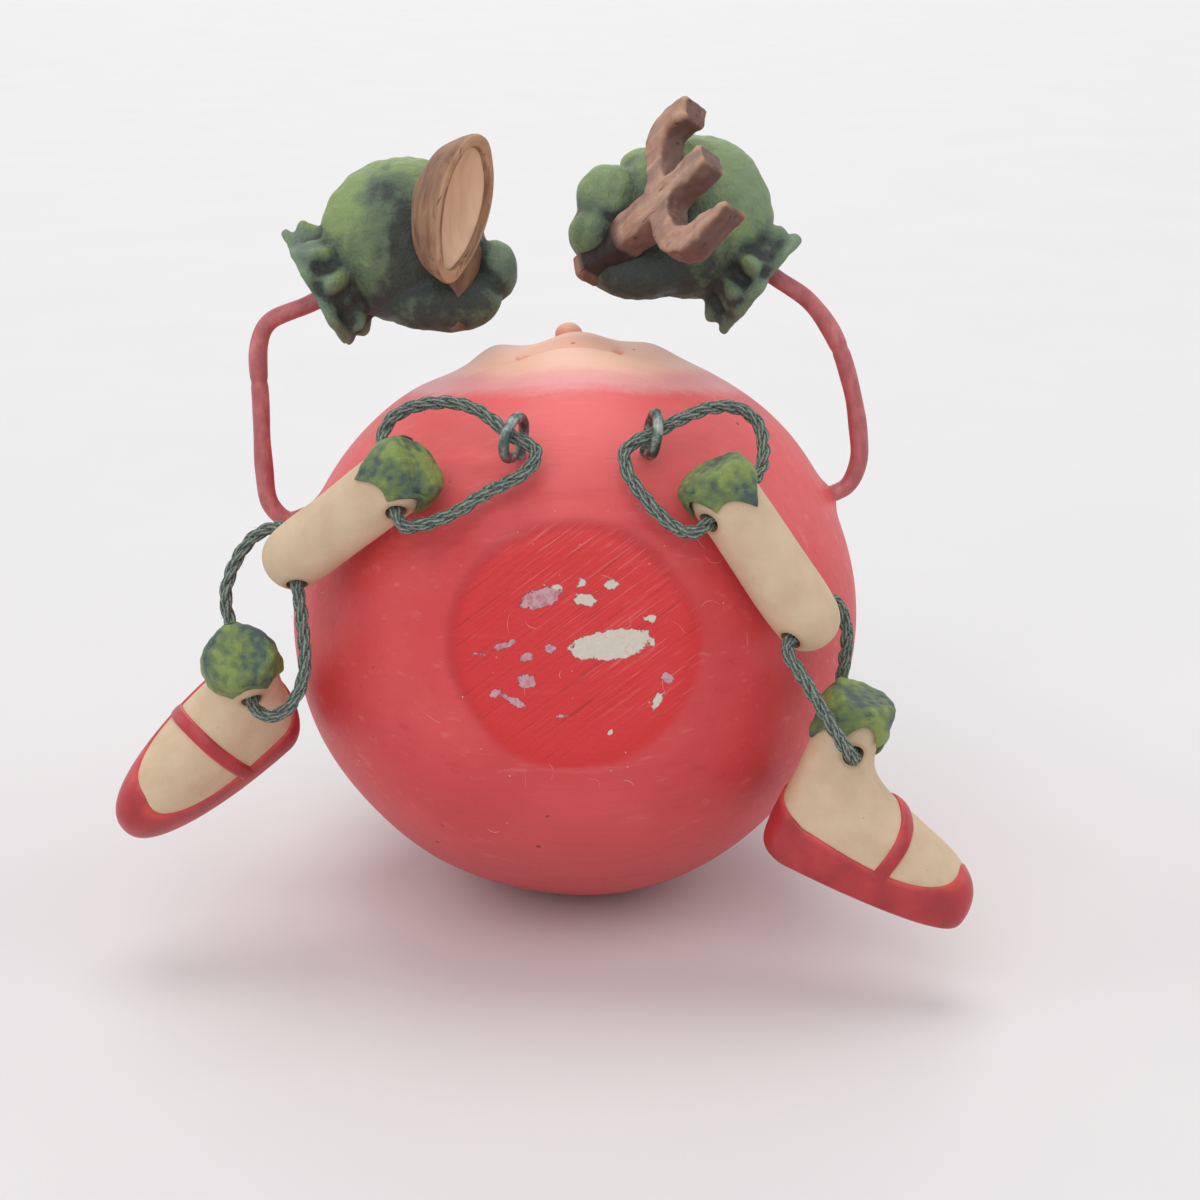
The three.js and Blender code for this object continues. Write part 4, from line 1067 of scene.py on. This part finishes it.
def slab(half_wide, half_thick, columns, square):
    """A rectangle with rounded corners for sweep: a superellipse, squarer with a larger exponent."""
    a = turn_round(columns)
    wide, thick = (np.sign(wave) * np.abs(wave) ** (2 / square) for wave in (np.cos(a), np.sin(a)))
    return np.stack([np.reshape(half_wide, (-1, 1)) * wide, np.reshape(half_thick, (-1, 1)) * thick], -1)


def carved_bar(points, half_wide, half_thick, count=60, columns=48):
    """A bar with rounded corners along a path; its ends close in over the last half millimetre."""
    path = smooth_path(points, count)
    length = length_of(path)
    s = np.linspace(0, length, count)
    taper = np.sqrt(1 - 0.16 * (1 - np.clip(np.minimum(s, length - s) / 0.5, 0, 1)) ** 2)
    wide = np.interp(s / length, np.linspace(0, 1, len(half_wide)), half_wide) * taper
    return sweep(path, (0, 0, 1), slab(wide, half_thick * taper, columns, 8.0)[..., ::-1])


bars = [carved_bar([[u, v, 0] for u, v in line], half, FORK_HALF_THICK) for line, half in FORK_BARS]
mesh = fused([shell(put(bar, fork_place)) for bar in bars], 0.22, 2, [(0.08, 0.16), (0.05, 0.45)])
upward = array_of(mesh, "vertices", "normal") @ fork_place[0][:, 2]
u = (array_of(mesh) / MM - fork_place[1]) @ fork_place[0][:, 0]
grip = np.clip((-5 - u) / 2, 0, 1) * np.clip((u + 13.6) / 1.2, 0, 1)
add_marks(mesh, edge=np.clip(-hollows(mesh, 6) / 0.15, 0, 1) * (1 - grip),
          shade=np.maximum(np.clip(1 - upward, 0, 1), 1.6 * grip))
dress("carved_fork", mesh, "torso", fork_brown, "utensil_brown", ["salad_fork"], sharp=80)

# %% Spoon
bowl_paint = Paint("bowl_tan")
soft_grain = bowl_paint.noise(bowl_paint.stretched(bowl_paint.place(), (1, 1, 0.2)), 0.8, 4)
tan = bowl_paint.coats((232, 194, 162), (soft_grain.rise(0.3, 0.7), (220, 180, 149)))
bowl_tan = bowl_paint.finish(tan, 0.55, (soft_grain - 0.5) * 0.15)


def bowl_rings(rows, count):
    """Rings of an oval bowl, slightly pointed, from (long half, wide half, height) triples, made smooth."""
    a = turn_round(96)
    point = 1.03 + 0.1 * np.cos(a) ** 4
    long, wide, height = (np.array(v)[:, None] for v in zip(*rows))
    rings = [long * np.cos(a) * point * 0.95, wide * np.sin(a) * (1 + 0.12 * np.cos(a)), height + 0 * a]
    return smooth_rows(np.stack(rings, -1), count)


outside = bowl_rings([
    (1, 0.6, -7.6), (4.6, 2.7, -6.9), (7.6, 4.5, -4.7), (9.2, 5.3, -1.8), (9.55, 5.5, -0.5), (9.45, 5.4, 0),
    (9.0, 5.0, 0.15), (7.9, 4.25, 0.05), (7.6, 4.0, -0.9), (6.4, 3.4, -3.2), (2, 1.2, -4)], 48)
inside = bowl_rings([
    (2, 1.2, -3.6), (6, 3.4, -3), (7.9, 4.2, -1.5), (7.95, 4.25, -0.7), (7.7, 4.05, -0.5), (6.9, 3.6, -0.9),
    (4.5, 2.4, -1.7), (1, 0.6, -2)], 30)
outside += 0.14 * np.sin(0.8 * outside[..., [1, 2, 0]] + 0.4) * np.sin(1.1 * outside)
at_edge = np.hypot(outside[..., 0] / 9.5, outside[..., 1] / 5.5) > 0.85
rim = np.clip(1 - np.abs(outside[..., 2] - 0.1) / 0.5, 0, 1) * at_edge
handle_line = [[-3.6, -5.6, -2.6], [-6.4, -5.4, -2.4], [-9.2, -4.9, -2.2], [-12, -5.8, -2.6],
               [-15.2, -7.2, -2.8]]
handle = carved_bar(handle_line, [1.6, 2.3, 1.2, 0.9, 0.8], 1.3, 40, 32)
spoon_shells = [shell(put(outside, spoon_place), edge=rim, shade=0.0),
                shell(put(handle, spoon_place), edge=0.0, shade=0.4)]
piece("carved_spoon", spoon_shells, "torso", spoon_brown, "utensil_brown", ["salad_spoon"], sharp=50)
piece("spoon_bowl", [shell(put(inside, spoon_place))], "torso", bowl_tan, "utensil_brown", sharp=60)

# %% [markdown]
# ## Wire arms and screw eyes
# The arms are one bent wire each, brushed with the body's red. The eyes are small screw eyes: a wire bent
# into a ring over a threaded shank. A thread is a ripple of the wire's radius that climbs as it goes
# round.

# %% Wire arms
ARM_R, ARM_ROWS = 1.25, 150
arm_paint = Paint("arm_paint")
spot = arm_paint.place()
worn = arm_paint.noise(arm_paint.stretched(spot, (1, 1, 0.5)), 0.5, 5, 0.65)
fine = arm_paint.noise(spot, 3, 3)
tint = arm_paint.coats(
    (172, 90, 94), (worn.rise(0.35, 0.68), (200, 114, 115)), (worn.rise(0.58, 0.72) * 0.5, (206, 136, 132)),
    (fine.rise(0.68, 0.76) * 0.5, (96, 40, 50)))
arm_red = arm_paint.finish(tint, 0.45 + (fine - 0.5) * 0.2, (worn - 0.5) * 0.1 + (fine - 0.5) * 0.05)


def arm(side):
    """A round bar through the wire's points, from inside the ball to inside the hand."""
    points = np.array(ARMS[side], float)
    flat = np.vstack([points[0] - 9 * unit(points[0]), points])
    line = smooth_path(in_doll(np.insert(flat, 1, ARM_PLANE, axis=1)), ARM_ROWS)
    s = np.linspace(0, 1, ARM_ROWS)
    nick = np.exp(-((s - 0.62) / 0.008) ** 2)
    radius = ARM_R + 0.05 * np.sin(21 * s) + 0.03 * np.sin(47 * s + 1) - 0.12 * nick
    grid = sweep(line, DOLL[:, 1], ring(radius, 24))
    piece(f"{side}_arm_bar", [shell(grid)], "torso", arm_red, "arm_red", [f"{side}_arm_wire"])


for side in ARMS:
    arm(side)

# %% Screw eyes
RING_R, WIRE_R, THREAD_PITCH, THREAD_END = 2.65, 0.7, 0.9, 8.6
EYE_ROWS, EYE_COLUMNS = 190, 20
eye_paint = Paint("eye_paint")
film = eye_paint.noise(eye_paint.place(), 0.7, 4, 0.6)
tint = eye_paint.coats((84, 100, 95), (film.rise(0.4, 0.62), (156, 162, 156)))
eye_steel = eye_paint.finish(tint, 0.32 + film * 0.25, (film - 0.5) * 0.08, Metallic=0.85)


def screw_eye(side):
    """Straight shank, then round the ring and back to just short of it."""
    out, look, middle = eye_frame(side)
    a = np.radians(np.arange(-62, 236, 9))
    shank = [[0, -11.9], [0, -8], [0, -5.9], [0.1, -3.9]]
    flat = np.vstack([shank, RING_R * np.stack([np.cos(a), np.sin(a)], 1)])
    line = smooth_path(middle + flat[:, :1] * np.cross(look, out) + flat[:, 1:] * out, EYE_ROWS)
    s = np.linspace(0, length_of(line), EYE_ROWS)[:, None]
    climb = 2 * np.pi * s / THREAD_PITCH - turn_round(EYE_COLUMNS)[None]
    thread = 0.1 * np.maximum(0, np.sin(climb)) * (s < THREAD_END)
    grid = sweep(line, look, ring(1.0, EYE_COLUMNS) * (WIRE_R + thread)[..., None])
    piece(f"{side}_screw_eye", [shell(grid)], "torso", eye_steel, "screw_eye_steel", [f"{side}_eye"])


for side in EYES:
    screw_eye(side)

# %% [markdown]
# ## Legs
# Thighs and feet are cream castings with drilled cross holes. The leaf over each top is a cap with lobes
# at the front and the back. A foot's outline changes with its height; the shoe follows the same outline
# up to a rim, and a strap crosses the instep.

# %% Cream and shoe paint
cream_paint = Paint("cream_paint")
spot = cream_paint.place()
mottle = cream_paint.noise(spot, 0.25, 4)
fine = cream_paint.noise(spot, 3.2, 3)
speck = cream_paint.cells(spot, 0.55).rise(0.07, 0.03) * cream_paint.noise(spot, 0.3, 1).rise(0.55, 0.6)
pin_place = cream_paint.stretched(spot, (1, 1, 1.3))
pin = cream_paint.cells(pin_place, 0.9).rise(0.06, 0.02) * mottle.rise(0.5, 0.56)
tint = cream_paint.coats(
    (218, 193, 161), (mottle.rise(0.3, 0.72), (208, 181, 148)),
    (cream_paint.mark("hollow").rise(0.1, 0.9) * 0.5, (176, 128, 98)), (speck * 0.7, (190, 110, 96)),
    (pin * 0.6, (128, 100, 76)))
height = (fine - 0.5) * 0.05 + (mottle - 0.5) * 0.12 - pin * 0.1
limb_cream = cream_paint.finish(tint, 0.58 + (fine - 0.5) * 0.2, height)

shoe_paint = Paint("shoe_paint")
spot = shoe_paint.place()
coat = shoe_paint.noise(spot, 0.22, 4)
fine = shoe_paint.noise(spot, 2.4, 3)
# Paler red along the rim and the strap's edges: partly worn paint, partly painted highlight.
worn_and_lit_edge = shoe_paint.mark("edge").rise(0.4, 1.0) * coat.rise(0.3, 0.6)
tint = shoe_paint.coats((166, 44, 50), (coat.rise(0.3, 0.7), (190, 57, 60)), (worn_and_lit_edge * 0.6, (222, 84, 78)),
                        (fine.rise(0.7, 0.78) * 0.4, (130, 20, 26)))
shoe_red = shoe_paint.finish(tint, 0.38 + (fine - 0.5) * 0.2, (coat - 0.5) * 0.12 + (fine - 0.5) * 0.04)
print("cream and shoe red ready")

# %% Thighs
HOLE_R, DRILL_REACH = 1.4, 9


def bored_cream(name, grid, holes, body, node):
    """A cream casting with holes drilled through it, each given by a point and a direction.

    A Boolean modifier takes a round bar out for each hole. The cream is brown round the mouths of the holes.
    """
    lean = np.array([0.31, 0.52, 0.79])
    reach = [-DRILL_REACH, 0, DRILL_REACH]
    drills = [middle + np.outer(reach, unit(direction)) for middle, direction in holes]
    cutter = put_in_scene("cutter", mesh_of([shell(sweep(line, lean, ring(HOLE_R, 24))) for line in drills]))
    mesh = modified(mesh_of([shell(grid)]), "BOOLEAN", object=cutter, operation="DIFFERENCE", solver="EXACT")
    bpy.data.objects.remove(cutter)
    points = array_of(mesh) / MM
    near = [np.linalg.norm(np.cross(points - middle, direction), axis=1) for middle, direction in holes]
    add_marks(mesh, hollow=np.exp(-((np.min(near, 0) - 1.2) / 0.7) ** 2))
    dress(name, mesh, body, limb_cream, "limb_cream", [node], sharp=35)


def limb_place(side):
    """The thigh's own frame: origin at its far end, Z up to the leaf, X along the cross holes."""
    thigh = THIGHS[side]
    z, x = -thigh["along"], thigh["across"]
    return np.stack([x, np.cross(z, x), z], 1), thigh["start"] + THIGH_LENGTH * thigh["along"]


def turned_thigh(side):
    """A profile of radius and height turned round the thigh's line, with two holes drilled across it."""
    top = THIGH_LENGTH - 2
    profile = smooth_path([[0.15, 0], [1.8, 0.3], [3.3, 1.4], [4.1, 3], [THIGH_R, 6], [THIGH_R, 13],
                           [THIGH_R, top - 6], [4.2, top - 1.4], [3.4, top - 0.2], [0.2, top]], 84)
    a = turn_round(64)
    r, h = profile[:, :1], profile[:, 1:]
    r = r * (1 + 0.012 * np.sin(2 * a + h * 0.3) + 0.008 * np.cos(3 * a - 0.4 * h))
    grid = np.stack([r * np.cos(a), r * np.sin(a), h + 0 * a], -1)
    place = limb_place(side)
    heights = (THIGH_LENGTH - THIGH_TOP_HOLE, THIGH_LOW_HOLE)
    holes = [(put(np.array([0, 0, height]), place), place[0][:, 0]) for height in heights]
    bored_cream(f"{side}_thigh_bar", put(grid, place), holes, f"{side}_thigh_body", f"{side}_thigh")


# %% Leaf caps
CAP_ROWS = 80


def leaf_cap(name, place, spin, limb_r, top, seat, drop, body, node):
    """A leaf over a limb's end, flat above: its wall hangs to a hem of pointed lobes, and it is lumpy."""
    a = turn_round(132)
    lobe = 0.5 - 0.5 * np.cos(2 * a)
    hem = top - drop * (0.5 + 0.5 * lobe) + 1.9 * np.abs(np.cos(3 * a)) - 0.4
    inner, outer = limb_r + 0.1, limb_r + 0.5 + 0.25 * lobe
    rows = [(0.4, seat), (inner - 1, seat), (inner, hem + 0.4), (inner + 0.25, hem - 0.15),
            (outer - 0.1, hem + 0.1), (outer, hem + 0.9), (outer - 0.1, (hem + top) / 2 + 0.2),
            (outer - 0.3, top - 1.1), (outer - 0.75, top - 0.4), (outer - 1.6, top - 0.1), (2.0, top - 0.05),
            (0.4, top)]
    grid = turned_rows(rows, a + spin, CAP_ROWS)
    seed = sum(map(ord, name))
    broad, small = lumps(grid, 0.16, seed), lumps(grid, 0.6, seed + 1)
    outside = np.clip(np.arange(CAP_ROWS) / 6 - 4, 0, 1)[:, None]
    grid += (outside * (0.13 * broad + 0.05 * small))[..., None] * unit(grid - [0, 0, top - 5])
    hollow = np.clip(-0.26 * broad - 0.16 * small, -0.7, 0.7)
    leaf = shell(put(grid, place), hollow=hollow, cool=0.0)
    piece(name, [leaf], body, limb_green, "leaf_green", [node], sharp=60)


for side in THIGHS:
    turned_thigh(side)
    leaf_cap(f"{side}_thigh_cap", limb_place(side), 0, THIGH_R, THIGH_LENGTH - 0.4, THIGH_LENGTH - 2, 6.6,
             f"{side}_thigh_body", f"{side}_thigh_leaf")
    leaf_cap(f"{side}_ankle_cap", FEET[side], ANKLE_TURN[side], ANKLE_R, ANKLE_TOP - 0.3, ANKLE_TOP - 2.2,
             7.4, f"{side}_foot_body", f"{side}_ankle_leaf")

# %% Feet
FOOT_PROFILE = smooth_path([
    [0, -3.4, 21.6, 5.7], [0.7, -4.3, 23, 6.4], [3.4, -4.6, 23.4, 6.7], [6.2, -4.5, 22.6, 6.4],
    [8.6, -4.4, 20, 5.9], [10.6, -4.3, 14.6, 5.1], [12.6, -4.3, 8.4, 4.6], [14.6, -4.3, 5.4, 4.4],
    [17, -4.3, 4.3, 4.3], [21, -4.1, 4.1, 4.1], [22.2, -3.2, 3.2, 3.2]], 90)


def foot_sizes(height):
    """How far the foot reaches back, to the front and to each side at a height."""
    return (np.interp(height, FOOT_PROFILE[:, 0], FOOT_PROFILE[:, k]) for k in (1, 2, 3))


def foot_point(height, angle, grow=0.0):
    """A point of the foot's outline at a height: a long toe, a round heel, and sides fuller than an oval."""
    back, front, half = foot_sizes(height)
    reach = np.where(np.cos(angle) > 0, front + grow, -back + grow)
    side = np.sign(np.sin(angle)) * np.abs(np.sin(angle)) ** 0.85
    return np.stack(np.broadcast_arrays(reach * np.cos(angle), (half + grow) * side, height), -1)


def foot(side):
    """The foot's outlines from sole to ankle, slightly inside the shoe, with the ankle's hole."""
    heights = np.concatenate([np.linspace(0.2, 16, 56), np.linspace(16.4, 22.2, 16)])[:, None]
    grid = put(foot_point(heights, turn_round(88)[None], -0.1), FEET[side])
    bored_cream(f"{side}_foot_cast", grid, [ankle_line(side)], f"{side}_foot_body", f"{side}_foot")


# %% Shoes and straps
STRAP_WIDTH, FAN_HEIGHT = 2.1, 4.2
STRAPS = {"left": (9.0, 0.33, -0.5), "right": (7.5, 0.3, 0.0)}
FLANK_RISE = {"left": 0.0, "right": 3.7}
TOE_RISE = {"left": 0.4, "right": 0.9}
RIM = np.array([[-7, 8], [-2, 6.6], [3, 5.6], [9, 4.8], [15, 4.6], [19, 5.2], [22, 7.2], [26, 11]])
LIP = [(0.1, 0.15), (0.16, 0.02), (0.12, -0.15), (-0.1, -0.4), (-0.6, -1.4), (-1, -3)]


def eased(values, reach):
    """A closed ring of values, each averaged with its neighbours up to reach steps away."""
    return np.mean([np.roll(values, k, 1) for k in range(-reach, reach + 1)], 0)


def strap(side):
    """A band over the instep where a slanted plane cuts the foot.

    The plane is given by its distance from the ankle, its forward lean and its slant across. In it, rays
    fan out from low in the foot. Where a ray leaves the foot is a point of the band, and the profile lifts
    the band there.
    """
    at, lean, slant = STRAPS[side]
    w = STRAP_WIDTH / 3 * np.array([-1.5, -1.45, -1.3, -0.8, 0, 0.8, 1.3, 1.45, 1.5, 1.2, 0, -1.2])
    proud = np.array([-0.5, 0.05, 0.26, 0.36, 0.4, 0.36, 0.26, 0.05, -0.5, -0.9, -0.9, -0.9])
    fan, out = np.linspace(0, np.pi, 61)[:, None, None], np.linspace(0.5, 12, 600)
    v, h = out * np.cos(fan), FAN_HEIGHT + out * np.sin(fan)
    u = at + lean * (h - 6) + slant * v + w[None, :, None]
    _, front, half = foot_sizes(h)
    within = np.abs(v) < half * np.clip(1 - (u / front) ** 2, 0, 1) ** 0.425
    reach, fan = out[np.argmin(within, -1)], fan[:, :, 0]
    v, h = reach * np.cos(fan), FAN_HEIGHT + reach * np.sin(fan)
    base = np.stack([at + lean * (h - 6) + slant * v + w, v, h], -1)
    away = unit(np.stack([0 * fan + 0.3, np.cos(fan), np.sin(fan)], -1))
    edge = (np.abs(w) > 0.4 * STRAP_WIDTH) * (proud > 0) * 1.0
    return shell(put(base + proud[None, :, None] * away, FEET[side]), edge=edge)


def shoe(side):
    """The sole, the wall up to the rim, a rounded lip, and a lid that hides inside the foot."""
    a = turn_round(120)[None]
    rim = eased(np.interp(foot_point(np.full_like(a, 5.0), a)[..., 0], RIM[:, 0], RIM[:, 1]), 3)
    flank = np.clip((-np.sin(a) - 0.15) / 0.55, 0, 1)
    rim = rim + FLANK_RISE[side] * flank * np.clip(0.7 + 1.6 * np.cos(a), 0, 1)
    rim = eased(rim + TOE_RISE[side] * np.clip((np.cos(a) - 0.5) / 0.45, 0, 1), 4)
    sole = [foot_point(0 * a, a) * [s, s, 1] for s in (0.1, 0.5, 0.8, 0.95)]
    wall = [foot_point(0.03 + t * (rim - 0.03), a, 0.22) for t in np.linspace(0, 1, 22)]
    lip = [foot_point(rim + rise, a, grow) for rise, grow in LIP]
    edge = np.concatenate([np.zeros(20), np.linspace(0, 1, 6), np.ones(6)])[:, None]
    shells = [shell(put(np.concatenate(sole + wall + lip), FEET[side]), edge=edge), strap(side)]
    piece(f"{side}_shoe_cast", shells, f"{side}_foot_body", shoe_red, "shoe_red", [f"{side}_shoe"], sharp=60)


for side in FEET:
    foot(side)
    shoe(side)
